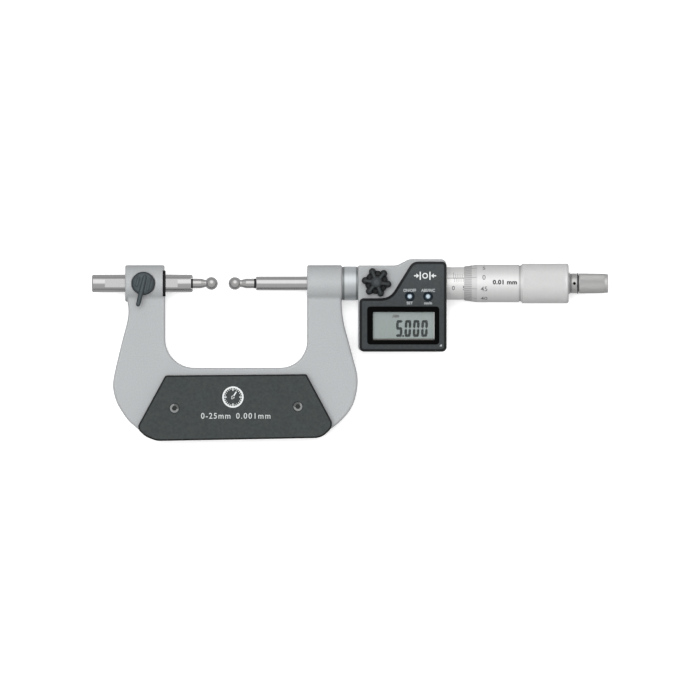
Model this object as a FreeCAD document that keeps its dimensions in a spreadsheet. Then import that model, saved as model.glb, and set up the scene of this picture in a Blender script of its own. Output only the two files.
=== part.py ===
import FreeCAD, Part
import Sketcher
import math
import os

# Ball micrometer, 0 to 25 mm, digital, with interchangeable ball tips.
# Model coordinates while the pieces are made: X along the spindle, towards the ratchet, Y up the
# frame towards the spindle, Z out of the display; the spindle axis is the X axis and X = 0 is half
# way between the two balls. Every piece then takes one placement, which lays the micrometer on its
# back, with the origin under the middle of its bounding box. Millimetres.

os.makedirs("parts", exist_ok=True)
doc = FreeCAD.newDocument("ball_micrometer")
V = FreeCAD.Vector

SIZES = [
    # placement of the whole
    ("shift_along", -59.55, "spindle axis X to the middle of the whole length"),
    ("shift_up", 31.25, "spindle axis to the middle of the whole height"),
    ("axis_height", 9.5, "spindle axis above the table when it lies on its back"),
    # frame
    ("web_thick", 10.5, "frame web thickness"),
    ("web_round", 1.2, "rounding of the web's edges"),
    ("boss_dia", 17.2, "both bosses"),
    ("boss_round", 0.8, "rounding of the bosses' ends"),
    ("left_boss_start", -46.0, ""),
    ("left_boss_end", -27.5, ""),
    ("right_boss_start", 39.4, ""),
    ("right_boss_end", 55.8, ""),
    ("boss_blend", 3.0, "concave blend from boss to web"),
    ("throat_left", -27.2, "inner left edge of the frame"),
    ("throat_right", 39.4, "inner right edge of the frame"),
    ("throat_floor", -39.6, "inner bottom edge of the frame"),
    ("throat_round_left", 13.6, ""),
    ("throat_round_right", 12.6, ""),
    # anvil and tips
    ("anvil_dia", 8.25, "anvil rod"),
    ("anvil_bore", 8.35, "its hole in the left boss"),
    ("anvil_tail", -61.6, ""),
    ("anvil_face", -15.1, ""),
    ("ring_wide", 12.3, "guide ring diameter"),
    ("ring_start", -28.4, ""),
    ("ring_thick", 1.4, "guide ring"),
    ("anvil_flat", 3.725, "height of the anvil's flat above its axis"),
    ("ball_dia", 6.0, "both balls"),
    ("ball_gap", 5.0, "distance between the balls, as the display reads"),
    ("neck_dia", 3.4, "tip neck behind the ball"),
    ("tip_shank_dia", 4.55, "tip shank"),
    ("tip_shank_length", 3.8, ""),
    ("tip_neck_taper", 2.1, "length of the cone between shank and neck"),
    ("tip_pin_dia", 3.0, "tip pin, pushed into the rod"),
    ("tip_pin_length", 11.0, ""),
    ("tip_ring_dia", 4.8, "rubber ring between tip and rod"),
    ("tip_ring_thick", 0.9, ""),
    # clamp lever
    ("clamp_x", -37.5, ""),
    ("clamp_disc_dia", 11.0, ""),
    ("clamp_disc_base", 7.6, ""),
    ("clamp_disc_top", 10.9, ""),
    ("clamp_stud_dia", 4.8, ""),
    ("lever_lean", 13.7, "degrees left of straight down"),
    # cover plates
    ("plate_out", 9.5, "outer face of each cover plate from the axis"),
    ("plate_wall", 1.6, ""),
    ("screw_left_x", -22.9, ""),
    ("screw_left_y", -58.6, ""),
    ("screw_right_x", 35.1, ""),
    ("screw_right_y", -57.8, ""),
    ("screw_head_dia", 4.2, ""),
    ("screw_shank_dia", 2.4, ""),
    # spindle and its guides
    ("spindle_dia", 6.5, ""),
    ("spindle_face", 15.45, ""),
    ("bush_dia", 12.0, "spindle bushing, outside"),
    ("bush_bore", 6.56, ""),
    ("bush_start", 42.0, ""),
    ("bush_end", 68.0, ""),
    ("collar_dia", 15.95, ""),
    ("collar_end", 63.3, ""),
    ("screw_dia", 7.9, "spindle screw, 0.5 mm pitch"),
    ("screw_start", 103.0, ""),
    ("screw_end", 143.0, ""),
    # head
    ("head_left", 63.3, ""),
    ("head_right", 104.65, ""),
    ("head_front", 8.6, "front face of the head housing from the axis"),
    ("head_back", 7.9, "back face of the head housing from the axis"),
    ("case_front", 13.0, "front face of the display case from the axis"),
    ("case_wall", 1.4, ""),
    ("gasket_thick", 0.4, ""),
    ("bezel_left", 67.6, ""),
    ("bezel_right", 101.5, ""),
    ("bezel_low", -28.7, ""),
    ("bezel_high", -10.8, ""),
    ("lcd_left", 70.3, ""),
    ("lcd_right", 99.25, ""),
    ("lcd_low", -26.6, ""),
    ("lcd_high", -13.4, ""),
    ("button_left_x", 87.6, ""),
    ("button_right_x", 96.2, ""),
    ("button_y", -6.1, ""),
    ("button_dia", 4.5, ""),
    ("knob_x", 72.0, ""),
    ("knob_y", 0.5, ""),
    ("knob_lobe", 6.8, "knob radius at a lobe"),
    ("knob_valley", 5.5, "knob radius between lobes"),
    ("knob_base", 9.7, ""),
    ("knob_top", 16.2, ""),
    ("battery_dia", 11.6, ""),
    ("battery_x", 84.0, ""),
    ("battery_y", -18.0, ""),
    # barrel
    ("sleeve_dia", 15.3, ""),
    ("sleeve_bore", 13.3, ""),
    ("sleeve_end", 134.0, ""),
    ("inner_sleeve_dia", 13.2, ""),
    ("thimble_front", 113.15, ""),
    ("thimble_dia", 17.6, ""),
    ("thimble_edge_dia", 15.9, ""),
    ("thimble_bore", 15.5, ""),
    ("thimble_step", 138.9, ""),
    ("grip_start", 140.2, ""),
    ("grip_end", 162.2, ""),
    ("grip_dia", 18.65, ""),
    ("grip_round", 1.4, ""),
    # ratchet
    ("ratchet_dia", 9.4, ""),
    ("ratchet_start", 166.9, ""),
    ("ratchet_end", 180.7, ""),
    ("ratchet_ring_dia", 9.3, ""),
]

sheet = doc.addObject("Spreadsheet::Sheet", "Sizes")
VALUE = {}
for row, (alias, value, note) in enumerate(SIZES, start=1):
    sheet.set("A%d" % row, str(value))
    sheet.setAlias("A%d" % row, alias)
    if note:
        sheet.set("B%d" % row, note)
    VALUE[alias] = float(value)
doc.recompute()


class Size:
    """A length with its value and the expression over the sheet that gives it."""

    def __init__(self, value, text):
        self.value, self.text = float(value), text

    def _with(self, other, sign, swap=False):
        o = other if isinstance(other, Size) else Size(other, repr(float(other)))
        a, b = (o, self) if swap else (self, o)
        value = {"+": a.value + b.value, "-": a.value - b.value, "*": a.value * b.value}.get(sign)
        if value is None:
            value = a.value / b.value
        return Size(value, "(%s %s %s)" % (a.text, sign, b.text))

    def __add__(self, o):
        return self._with(o, "+")

    def __radd__(self, o):
        return self._with(o, "+", True)

    def __sub__(self, o):
        return self._with(o, "-")

    def __rsub__(self, o):
        return self._with(o, "-", True)

    def __mul__(self, o):
        return self._with(o, "*")

    def __rmul__(self, o):
        return self._with(o, "*", True)

    def __truediv__(self, o):
        return self._with(o, "/")

    def __neg__(self):
        return Size(-self.value, "(0 - %s)" % self.text)


def S(alias):
    return Size(VALUE[alias], "Sizes." + alias)


def num(v):
    return v.value if isinstance(v, Size) else float(v)


def bind(obj, prop, v):
    """Sets a property, and ties it to the sheet when v is a Size."""
    if isinstance(v, Size):
        obj.setExpression(prop, v.text)
    return num(v)


OWN_PLACE = {}


def place(obj, x, y, z, axis=None, angle=0.0):
    """Places a helper solid, each coordinate tied to the sheet where it is a Size."""
    rot = FreeCAD.Rotation(V(*axis), angle) if axis else FreeCAD.Rotation()
    OWN_PLACE[obj.Name] = (x, y, z, axis, angle)
    obj.Placement = FreeCAD.Placement(V(num(x), num(y), num(z)), rot)
    for letter, v in zip("xyz", (x, y, z)):
        if isinstance(v, Size):
            obj.setExpression(".Placement.Base." + letter, v.text)
    return obj


PIECES = []


def done(obj, label):
    """Makes obj a piece of the micrometer: its own label, and the common placement, added to the
    placement that a plain primitive has already."""
    obj.Label = label
    x, y, z, axis, angle = OWN_PLACE.get(obj.Name, (0.0, 0.0, 0.0, None, 0.0))
    place(obj, S("shift_along") + x, S("shift_up") + y, S("axis_height") + z, axis, angle)
    PIECES.append((obj, label))
    return obj


# ---- sketches -------------------------------------------------------------------------------


def draw(sketch, items):
    """Closed profile. items: vertices (x, y), with ("arc", xm, ym, radius) or ("curve", points)
    between two vertices for an arc through (xm, ym) or a smooth curve through more points."""
    verts, links = [], []
    for it in items:
        if it[0] in ("arc", "curve"):
            links[-1] = it
        else:
            verts.append(it)
            links.append(None)
    n = len(verts)
    for i in range(n):
        a, b = verts[i], verts[(i + 1) % n]
        pa, pb = V(num(a[0]), num(a[1]), 0), V(num(b[0]), num(b[1]), 0)
        if links[i] is None:
            sketch.addGeometry(Part.LineSegment(pa, pb), False)
        elif links[i][0] == "arc":
            pm = V(num(links[i][1]), num(links[i][2]), 0)
            centre = Part.Arc(pa, pm, pb).toShape().Curve.Center
            anticlockwise = (pm - pa).cross(pb - pm).z > 0
            begin, stop = [math.atan2(q.y - centre.y, q.x - centre.x) for q in ((pa, pb) if anticlockwise else (pb, pa))]
            if stop < begin:
                stop += 2 * math.pi
            circle = Part.Circle(centre, V(0, 0, 1), (pa - centre).Length)
            sketch.addGeometry(Part.ArcOfCircle(circle, begin, stop), False)
        else:
            curve = Part.BSplineCurve()
            curve.interpolate([pa] + [V(x, y, 0) for x, y in links[i][1]] + [pb])
            sketch.addGeometry(curve, False)
    # a three-point arc is stored anticlockwise, so each edge's start and end are found by place
    pts = [V(num(a[0]), num(a[1]), 0) for a in verts]
    first, last = [], []
    for i in range(n):
        g = sketch.Geometry[i]
        forward = (g.StartPoint - pts[i]).Length < (g.EndPoint - pts[i]).Length
        first.append(1 if forward else 2)
        last.append(2 if forward else 1)
    for i in range(n):
        j = (i + 1) % n
        sketch.addConstraint(Sketcher.Constraint("Coincident", i, last[i], j, first[j]))
    for i in range(n):
        for kind, v in (("DistanceX", verts[i][0]), ("DistanceY", verts[i][1])):
            c = sketch.addConstraint(Sketcher.Constraint(kind, -1, 1, i, first[i], num(v)))
            if isinstance(v, Size):
                sketch.setExpression("Constraints[%d]" % c, v.text)
        if links[i] is not None and links[i][0] == "arc" and len(links[i]) > 3:
            c = sketch.addConstraint(Sketcher.Constraint("Radius", i, num(links[i][3])))
            if isinstance(links[i][3], Size):
                sketch.setExpression("Constraints[%d]" % c, links[i][3].text)


def ring_sketch(sketch, rings):
    """Circles: (x, y, diameter)."""
    for x, y, dia in rings:
        i = sketch.addGeometry(Part.Circle(V(num(x), num(y), 0), V(0, 0, 1), num(dia) / 2), False)
        for kind, v in (("DistanceX", x), ("DistanceY", y)):
            c = sketch.addConstraint(Sketcher.Constraint(kind, -1, 1, i, 3, num(v)))
            if isinstance(v, Size):
                sketch.setExpression("Constraints[%d]" % c, v.text)
        c = sketch.addConstraint(Sketcher.Constraint("Diameter", i, num(dia)))
        if isinstance(dia, Size):
            sketch.setExpression("Constraints[%d]" % c, dia.text)


def body(name):
    return doc.addObject("PartDesign::Body", name + "_body")


def sketch_on(b, role, name, offset=0.0):
    sk = b.newObject("Sketcher::SketchObject", name)
    plane = [f for f in b.Origin.OriginFeatures if f.Role == role][0]
    sk.AttachmentSupport = [(plane, "")]
    sk.MapMode = "FlatFace"
    sk.AttachmentOffset = FreeCAD.Placement(V(0, 0, num(offset)), FreeCAD.Rotation())
    if isinstance(offset, Size):
        sk.setExpression(".AttachmentOffset.Base.z", offset.text)
    return sk


def turned(name, items):
    """A turned piece: its half profile, as (x, radius), turned about the spindle axis."""
    b = body(name)
    sk = sketch_on(b, "XY_Plane", name + "_profile")
    draw(sk, items)
    rev = b.newObject("PartDesign::Revolution", name + "_turned")
    rev.Profile = sk
    rev.ReferenceAxis = (sk, ["H_Axis"])
    rev.Angle = 360
    return b


def plate(name, items, z0, thick):
    """A padded outline in the XY plane from z0."""
    b = body(name)
    sk = sketch_on(b, "XY_Plane", name + "_outline", z0)
    draw(sk, items)
    pad = b.newObject("PartDesign::Pad", name + "_pad")
    pad.Profile = sk
    pad.Length = bind(pad, "Length", thick)
    return b


def more_pad(b, name, items, z0, thick):
    sk = sketch_on(b, "XY_Plane", name + "_outline", z0)
    draw(sk, items)
    pad = b.newObject("PartDesign::Pad", name)
    pad.Profile = sk
    pad.Length = bind(pad, "Length", thick)
    return pad


def pocket(b, name, z0, depth, items=None, rings=None, role="XY_Plane"):
    """Cuts from z0 down by depth; the volume tells that it cut."""
    doc.recompute()
    before = b.Shape.Volume
    sk = sketch_on(b, role, name + "_outline", z0)
    if items:
        draw(sk, items)
    if rings:
        ring_sketch(sk, rings)
    cut = b.newObject("PartDesign::Pocket", name)
    cut.Profile = sk
    cut.Length = bind(cut, "Length", depth)
    doc.recompute()
    if b.Shape.Volume > before - 1e-6:
        cut.Reversed = True
        doc.recompute()
    if b.Shape.Volume > before - 1e-6:
        raise RuntimeError(name + " cuts nothing")
    return cut


def outline_rounded(b, feature_name, z, r, kind="Fillet", test=None):
    """Rounds or chamfers the edges of the body's tip that lie in the plane at height z."""
    doc.recompute()
    tip = b.Tip
    names = []
    for i, e in enumerate(tip.Shape.Edges, start=1):
        bb = e.BoundBox
        if abs(bb.ZMin - num(z)) < 1e-4 and abs(bb.ZMax - num(z)) < 1e-4:
            if test is None or test(e):
                names.append("Edge%d" % i)
    f = b.newObject("PartDesign::" + kind, feature_name)
    f.Base = (tip, names)
    if kind == "Fillet":
        f.Radius = bind(f, "Radius", r)
    else:
        f.Size = bind(f, "Size", r)
    doc.recompute()
    return f


def cyl(name, r, length, x, y, z, along="z"):
    """A cylinder that starts at x, y, z and runs along +X, +Y, +Z or -Z."""
    c = doc.addObject("Part::Cylinder", name)
    c.Radius = bind(c, "Radius", r)
    c.Height = bind(c, "Height", length)
    axis, angle = {"z": (None, 0), "x": ((0, 1, 0), 90), "y": ((1, 0, 0), -90), "-z": ((1, 0, 0), 180)}[along]
    return place(c, x, y, z, axis, angle)


def box(name, dx, dy, dz, x, y, z):
    c = doc.addObject("Part::Box", name)
    c.Length, c.Width, c.Height = bind(c, "Length", dx), bind(c, "Width", dy), bind(c, "Height", dz)
    return place(c, x, y, z)


def joined(name, objs):
    f = doc.addObject("Part::MultiFuse", name)
    f.Shapes = objs
    return f


def minus(name, base, tools):
    tool = tools[0] if len(tools) == 1 else joined(name + "_tools", tools)
    c = doc.addObject("Part::Cut", name)
    c.Base, c.Tool = base, tool
    return c


def both(name, a, b):
    c = doc.addObject("Part::MultiCommon", name)
    c.Shapes = [a, b]
    return c


def free_sketch(name, items):
    sk = doc.addObject("Sketcher::SketchObject", name)
    draw(sk, items)
    return sk


def risen(name, profile, z0, thick):
    """A doc-level outline or its offset, extruded from z0."""
    ex = doc.addObject("Part::Extrusion", name)
    ex.Base = profile
    ex.DirMode = "Custom"
    ex.Dir = V(0, 0, 1)
    ex.LengthFwd = bind(ex, "LengthFwd", thick)
    ex.Solid = True
    return place(ex, 0, 0, z0)


def offset(name, source, by):
    of = doc.addObject("Part::Offset2D", name)
    of.Source = source
    of.Value = bind(of, "Value", by)
    of.Mode = "Pipe"
    return of


def rounded(name, base, z, r, kind="Part::Fillet", inside=None):
    """Rounds the edges of a solid that lie in the plane at height z."""
    doc.recompute()
    f = doc.addObject(kind, name)
    f.Base = base
    picks = []
    for i, e in enumerate(base.Shape.Edges, start=1):
        bb = e.BoundBox
        if abs(bb.ZMin - num(z)) < 1e-4 and abs(bb.ZMax - num(z)) < 1e-4 and (inside is None or inside(bb)):
            picks.append((i, num(r), num(r)))
    f.Edges = picks
    doc.recompute()
    return f


def corners(points):
    """A polygon (x, y, corner radius) with tangent arcs at its corners, for draw."""
    items = []
    n = len(points)
    for i, (x, y, r) in enumerate(points):
        v, a, b = V(x, y, 0), V(*points[i - 1][:2], 0), V(*points[(i + 1) % n][:2], 0)
        back, on = (a - v).normalize(), (b - v).normalize()
        half = back.getAngle(on) / 2
        reach = r / math.tan(half)
        p, q = v + back * reach, v + on * reach
        middle = (back + on).normalize()
        m = v + middle * (r / math.sin(half) - r)
        items += [(p.x, p.y), ("arc", m.x, m.y, r), (q.x, q.y)]
    return items


def rect(x0, y0, x1, y1, r):
    """A rectangle with rounded corners, for draw."""
    k = 1 - math.sqrt(0.5)
    items = []
    items += [(x0 + r, y0), (x1 - r, y0), ("arc", x1 - r * k, y0 + r * k, r)]
    items += [(x1, y0 + r), (x1, y1 - r), ("arc", x1 - r * k, y1 - r * k, r)]
    items += [(x1 - r, y1), (x0 + r, y1), ("arc", x0 + r * k, y1 - r * k, r)]
    items += [(x0, y1 - r), (x0, y0 + r), ("arc", x0 + r * k, y0 + r * k, r)]
    return items


# ---- frame ----------------------------------------------------------------------------------

half_web = S("web_thick") / 2
TL, TR, TF = S("throat_left"), S("throat_right"), S("throat_floor")
RL, RR = S("throat_round_left"), S("throat_round_right")
K = 1 - math.sqrt(0.5)
flank = [
    (-45.15, -7.0), (-44.45, -12.0), (-44.95, -17.5), (-47.4, -27.0), (-49.6, -36.2), (-51.25, -43.6),
    (-51.7, -48.3), (-50.85, -53.1), (-49.4, -56.9), (-47.1, -60.7), (-44.35, -64.4), (-41.0, -67.4), (-37.2, -70.5), (-33.6, -72.3),
    (-30.0, -73.2), (-24.0, -73.45), (-10.0, -73.1), (5.0, -72.7), (20.0, -72.25), (33.0, -71.9), (40.5, -71.6),
    (45.2, -70.9), (48.7, -69.4), (52.7, -66.7), (57.3, -62.3), (60.6, -57.5), (62.35, -52.2),
    (63.1, -46.8), (62.8, -42.2), (61.2, -36.0), (58.7, -26.6), (56.6, -18.5), (55.75, -11.5),
]
web = plate(
    "frame_web",
    [
        (-45.3, -2.0),
        ("curve", flank),
        (55.5, -2.0),
        (TR, -2.0),
        (TR, TF + RR),
        ("arc", TR - RR * K, TF + RR * K, RR),
        (TR - RR, TF),
        (TL + RL, TF),
        ("arc", TL + RL * K, TF + RL * K, RL),
        (TL, TF + RL),
        (TL, -2.0),
    ],
    -half_web,
    S("web_thick"),
)
low_edges = lambda e: e.BoundBox.YMin < -2.5  # noqa: E731
outline_rounded(web, "web_front_round", half_web, S("web_round"), test=low_edges)
outline_rounded(web, "web_back_round", -half_web, S("web_round"), test=low_edges)


def boss(name, x0, x1):
    r, q = S("boss_dia") / 2, S("boss_round")
    return turned(
        name,
        [
            (x0, 0.0),
            (x0, r - q),
            ("arc", x0 + q * K, r - q * K, q),
            (x0 + q, r),
            (x1 - q, r),
            ("arc", x1 - q * K, r - q * K, q),
            (x1, r - q),
            (x1, 0.0),
        ],
    )


left_boss = boss("frame_left_boss", S("left_boss_start"), S("left_boss_end"))
right_boss = boss("frame_right_boss", S("right_boss_start"), S("right_boss_end"))

# concave blend between each boss and the web, front and back: in the YZ plane it is bounded by the
# boss circle, the web's face and an arc tangent to both, and it runs the boss's length
rb, hw, rf = VALUE["boss_dia"] / 2, VALUE["web_thick"] / 2, VALUE["boss_blend"]
cz = hw + rf
cy = -math.sqrt((rb + rf) ** 2 - cz**2)
on_boss = (cy * rb / (rb + rf), cz * rb / (rb + rf))
to_mid = V((on_boss[0] + cy) / 2 - cy, (on_boss[1] + hw) / 2 - cz, 0).normalize() * rf


def blend(name, x0, x1, side):
    b = body(name)
    sk = sketch_on(b, "YZ_Plane", name + "_outline", x0)
    draw(
        sk,
        [
            (on_boss[0] + 1.2, side * (on_boss[1] - 0.9)),
            (on_boss[0], side * on_boss[1]),
            ("arc", cy + to_mid.x, side * (cz + to_mid.y), rf),
            (cy, side * hw),
            (cy, side * (hw - 1.0)),
            (on_boss[0] + 1.2, side * (hw - 1.0)),
        ],
    )
    pad = b.newObject("PartDesign::Pad", name + "_pad")
    pad.Profile = sk
    pad.Length = bind(pad, "Length", x1 - x0)
    return b


blends = [
    blend("blend_left_front", S("left_boss_start") + 1.35, S("left_boss_end") - 0.3, 1),
    blend("blend_left_back", S("left_boss_start") + 1.35, S("left_boss_end") - 0.3, -1),
    blend("blend_right_front", S("right_boss_start") + 1.1, S("right_boss_end") - 1.1, 1),
    blend("blend_right_back", S("right_boss_start") + 1.1, S("right_boss_end") - 1.1, -1),
]
cast = joined("frame_casting", [web, left_boss, right_boss] + blends)
screw_at = [(S("screw_left_x"), S("screw_left_y")), (S("screw_right_x"), S("screw_right_y"))]
frame = minus(
    "frame",
    cast,
    [
        cyl("anvil_hole", S("anvil_bore") / 2, 22, S("left_boss_start") - 2, 0, 0, "x"),
        cyl("clamp_hole", 2.45, 8, S("clamp_x"), 0, 2.0),
        cyl("clamp_spot_face", 5.75, 3, S("clamp_x"), 0, 7.5),
        box("guide_ring_slot", 3.0, 12.4, 24.0, S("ring_start") - 0.02, -6.2, -12.0),
        cyl("bushing_hole", S("bush_dia") / 2 + 0.03, 20, S("bush_start"), 0, 0, "x"),
        cyl("seal_hole", 5.03, 4, S("right_boss_start") - 1, 0, 0, "x"),
    ]
    + [
        cyl("plate_screw_hole_%d" % i, S("screw_shank_dia") / 2 + 0.05, 4.6, x, y, half_web - 4.5 if front else -half_web - 0.1)
        for i, (x, y, front) in enumerate((x, y, f) for x, y in screw_at for f in (True, False))
    ],
)
done(frame, "frame")

# ---- cover plates: moulded, hollow towards the web, with a post round each screw --------------

plate_outline = corners(
    [
        (-27.1, -43.2, 1.1), (-40.6, -68.0, 3.0), (-36.6, -71.8, 8.0), (-31.3, -73.98, 10.0),
        (46.3, -72.55, 8.5), (52.1, -66.8, 4.4), (39.1, -42.6, 1.1),
    ]
)


def cover(name, side):
    z_in, z_out = S("web_thick") / 2, S("plate_out")
    thick = z_out - z_in
    outline = free_sketch(name + "_outline", plate_outline)
    slab = risen(name + "_slab", outline, z_in if side > 0 else -z_out, thick)
    slab = rounded(name + "_edge", slab, z_out if side > 0 else -z_out, 0.75, "Part::Chamfer")
    hollow = risen(
        name + "_hollow",
        offset(name + "_inside", outline, -S("plate_wall")),
        z_in - 0.5 if side > 0 else -(z_out - S("plate_wall")),
        thick - S("plate_wall") + 0.5,
    )
    posts = [cyl(name + "_post_%d" % i, 3.4, thick + 2, x, y, z_in - 1 if side > 0 else -z_out - 1) for i, (x, y) in enumerate(screw_at)]
    hollow = minus(name + "_hollow_round_posts", hollow, posts)
    holes = []
    for i, (x, y) in enumerate(screw_at):
        holes.append(cyl(name + "_screw_hole_%d" % i, S("screw_shank_dia") / 2 + 0.1, thick + 2, x, y, z_in - 1 if side > 0 else -z_out - 1))
        holes.append(cyl(name + "_head_hole_%d" % i, S("screw_head_dia") / 2 + 0.3, 2.6, x, y, z_out - 1.75 if side > 0 else -z_out - 0.85))
    return done(minus(name, slab, [hollow] + holes), name)


cover("front_cover_plate", 1)
cover("rear_cover_plate", -1)


def socket_screw(name, x, y, side):
    """Flat-headed screw with a hexagon socket, under the plate's face."""
    head_top = S("plate_out") - 0.12
    r = S("screw_head_dia") / 2
    head = cyl(name + "_head", r, 1.55, x, y, head_top - 1.55 if side > 0 else -head_top)
    shank = cyl(name + "_shank", S("screw_shank_dia") / 2, 6.2, x, y, head_top - 7.6 if side > 0 else -head_top + 1.4)
    whole = joined(name + "_whole", [head, shank])
    hexa = doc.addObject("Part::Prism", name + "_socket")
    hexa.Polygon = 6
    hexa.Circumradius = 1.25
    hexa.Height = 1.1
    place(hexa, x, y, head_top - 1.0 if side > 0 else -head_top - 0.1)
    return minus(name, whole, [hexa])


screws = [socket_screw("plate_screw_%d" % i, x, y, s) for i, (x, y, s) in enumerate((x, y, s) for x, y in screw_at for s in (1, -1))]
group = doc.addObject("Part::Compound", "cover_screws")
group.Links = screws
done(group, "cover_screws")

# ---- anvil side --------------------------------------------------------------------------------

ra = S("anvil_dia") / 2
done(
    minus(
        "anvil",
        turned(
            "anvil",
            [
                (S("anvil_tail"), 0.0),
                (S("anvil_tail"), ra - 0.5),
                (S("anvil_tail") + 0.5, ra),
                (S("anvil_face") + 0.3, ra),
                (S("anvil_face") + 0.85, ra - 0.55),
                (S("anvil_face") + 0.85, S("tip_ring_dia") / 2 + 0.06),
                (S("anvil_face"), S("tip_ring_dia") / 2 + 0.06),
                (S("anvil_face"), 0.0),
            ],
        ),
        [
            cyl("anvil_tip_hole", S("tip_pin_dia") / 2 + 0.04, S("tip_pin_length") + 1.5, S("anvil_face") - S("tip_pin_length") - 0.5, 0, 0, "x"),
            box("anvil_flat_cut", 34.1, 9.0, 1.0, -55.5, -4.5, S("anvil_flat")),
            box("anvil_end_slot", 2.0, S("tip_ring_dia") + 0.12, 12.0, S("anvil_face"), -S("tip_ring_dia") / 2 - 0.06, -6.0),
        ],
    ),
    "anvil",
)


def ball_tip(name, side):
    """Ball, neck, cone, shank and pin in one piece; side is -1 on the anvil, +1 on the spindle."""
    R = S("ball_dia") / 2
    rn = S("neck_dia") / 2
    rs, rp = S("tip_shank_dia") / 2, S("tip_pin_dia") / 2
    centre = S("ball_gap") / 2 + R
    back = math.sqrt(R.value**2 - rn.value**2)
    shank_start = (-S("anvil_face") if side < 0 else S("spindle_face")) - S("tip_ring_thick")
    rod_face = -S("anvil_face") if side < 0 else S("spindle_face")
    items = [
        (S("ball_gap") / 2, 0.0),
        ("arc", centre, R, R),
        (centre + back, rn),
        (shank_start - S("tip_shank_length") - S("tip_neck_taper"), rn),
        (shank_start - S("tip_shank_length"), rs),
        (shank_start, rs),
        (shank_start, rp),
        (rod_face + S("tip_pin_length") - 0.3, rp),
        (rod_face + S("tip_pin_length"), rp - 0.3),
        (rod_face + S("tip_pin_length"), 0.0),
    ]
    if side < 0:
        flipped = []
        for it in items:
            flipped.append(("arc", -it[1], it[2], it[3]) if it[0] == "arc" else (-it[0], it[1]))
        items = flipped
    return done(turned(name, items), name)


ball_tip("anvil_ball_tip", -1)
ball_tip("spindle_ball_tip", 1)


def tip_ring(name, side):
    a = -S("anvil_face") if side < 0 else S("spindle_face")
    b = a - S("tip_ring_thick")
    if side < 0:
        a, b = -a, -b
    rp, ro = S("tip_pin_dia") / 2 + 0.03, S("tip_ring_dia") / 2
    m = (a + b) / 2
    return done(
        turned(name, [(a, rp), (a, ro - 0.2), (m, ro), (b, ro - 0.2), (b, rp)]),
        name,
    )


tip_ring("anvil_tip_ring", -1)
tip_ring("spindle_tip_ring", 1)

x0, x1 = S("ring_start"), S("ring_start") + S("ring_thick")
rr = S("ring_wide") / 2
done(
    turned("anvil_guide_ring", [(x0, S("anvil_bore") / 2), (x0, rr), (x1 - 0.25, rr), (x1, rr - 0.25), (x1, S("anvil_bore") / 2)]),
    "anvil_guide_ring",
)

done(cyl("anvil_clamp_pad", 2.4, 1.785, S("clamp_x"), 0, S("anvil_flat") + 0.045), "anvil_clamp_pad")
stud = joined("stud_whole", [cyl("stud_thread", S("clamp_stud_dia") / 2, 1.95, S("clamp_x"), 0, ra + 1.5), cyl("stud_top", 1.9, 2.0, S("clamp_x"), 0, ra + 3.4)])
done(stud, "anvil_clamp_stud")

# lever: a round disc and a tapered arm that leans to the left, drawn along its own length
lean = math.radians(VALUE["lever_lean"])
ux, uy = -math.sin(lean), -math.cos(lean)
nx, ny = -uy, ux


def on_lever(along, across):
    return (S("clamp_x") + (ux * along + nx * across), 0.0 + (uy * along + ny * across))


lever = body("lever_blank")
sk = sketch_on(lever, "XY_Plane", "lever_disc_outline", S("clamp_disc_base"))
ring_sketch(sk, [(S("clamp_x"), 0.0, S("clamp_disc_dia"))])
pad = lever.newObject("PartDesign::Pad", "lever_disc")
pad.Profile = sk
pad.Length = bind(pad, "Length", S("clamp_disc_top") - S("clamp_disc_base"))
outline_rounded(lever, "lever_disc_round", S("clamp_disc_top"), 0.9)
more_pad(
    lever,
    "lever_arm",
    [
        on_lever(-1.6, -0.55),
        on_lever(4.0, -1.45),
        on_lever(10.2, -0.85),
        ("arc",) + on_lever(11.0, 0.0),
        on_lever(10.2, 0.85),
        on_lever(4.0, 1.45),
        on_lever(-1.6, 0.55),
        ("arc",) + on_lever(-2.15, 0.0),
    ],
    S("clamp_disc_base") + 0.7,
    S("clamp_disc_top") - S("clamp_disc_base") + 0.1,
)
top = S("clamp_disc_top") + 0.8
outline_rounded(lever, "lever_arm_round", top, 0.4)
done(minus("anvil_clamp_lever", lever, [cyl("lever_stud_hole", 1.93, 3.0, S("clamp_x"), 0, S("clamp_disc_base") - 0.6)]), "anvil_clamp_lever")

# ---- spindle side --------------------------------------------------------------------------------

done(
    turned(
        "spindle_seal",
        [(S("right_boss_start") + 0.5, 3.3), (S("right_boss_start") + 0.5, 5.0), (S("bush_start") - 0.02, 5.0), (S("bush_start") - 0.02, 4.0), (S("right_boss_start") + 1.5, 3.3)],
    ),
    "spindle_seal",
)
rB, rb_in = S("bush_dia") / 2, S("bush_bore") / 2
done(
    turned(
        "spindle_bushing",
        [(S("bush_start") + 0.02, rb_in + 0.3), (S("bush_start") + 0.02, rB), (S("bush_end"), rB), (S("bush_end"), rb_in), (S("bush_start") + 0.32, rb_in)],
    ),
    "spindle_bushing",
)
cx0, cx1, rc = S("right_boss_end"), S("collar_end"), S("collar_dia") / 2
done(
    turned(
        "frame_collar",
        [
            (cx0, rB + 0.03), (cx0, rc - 0.25), (cx0 + 0.55, rc - 0.25), (cx0 + 0.7, rc), (cx1 - 0.7, rc),
            (cx1 - 0.55, rc - 0.25), (cx1, rc - 0.25), (cx1, rB + 0.03),
        ],
    ),
    "frame_collar",
)

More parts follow.
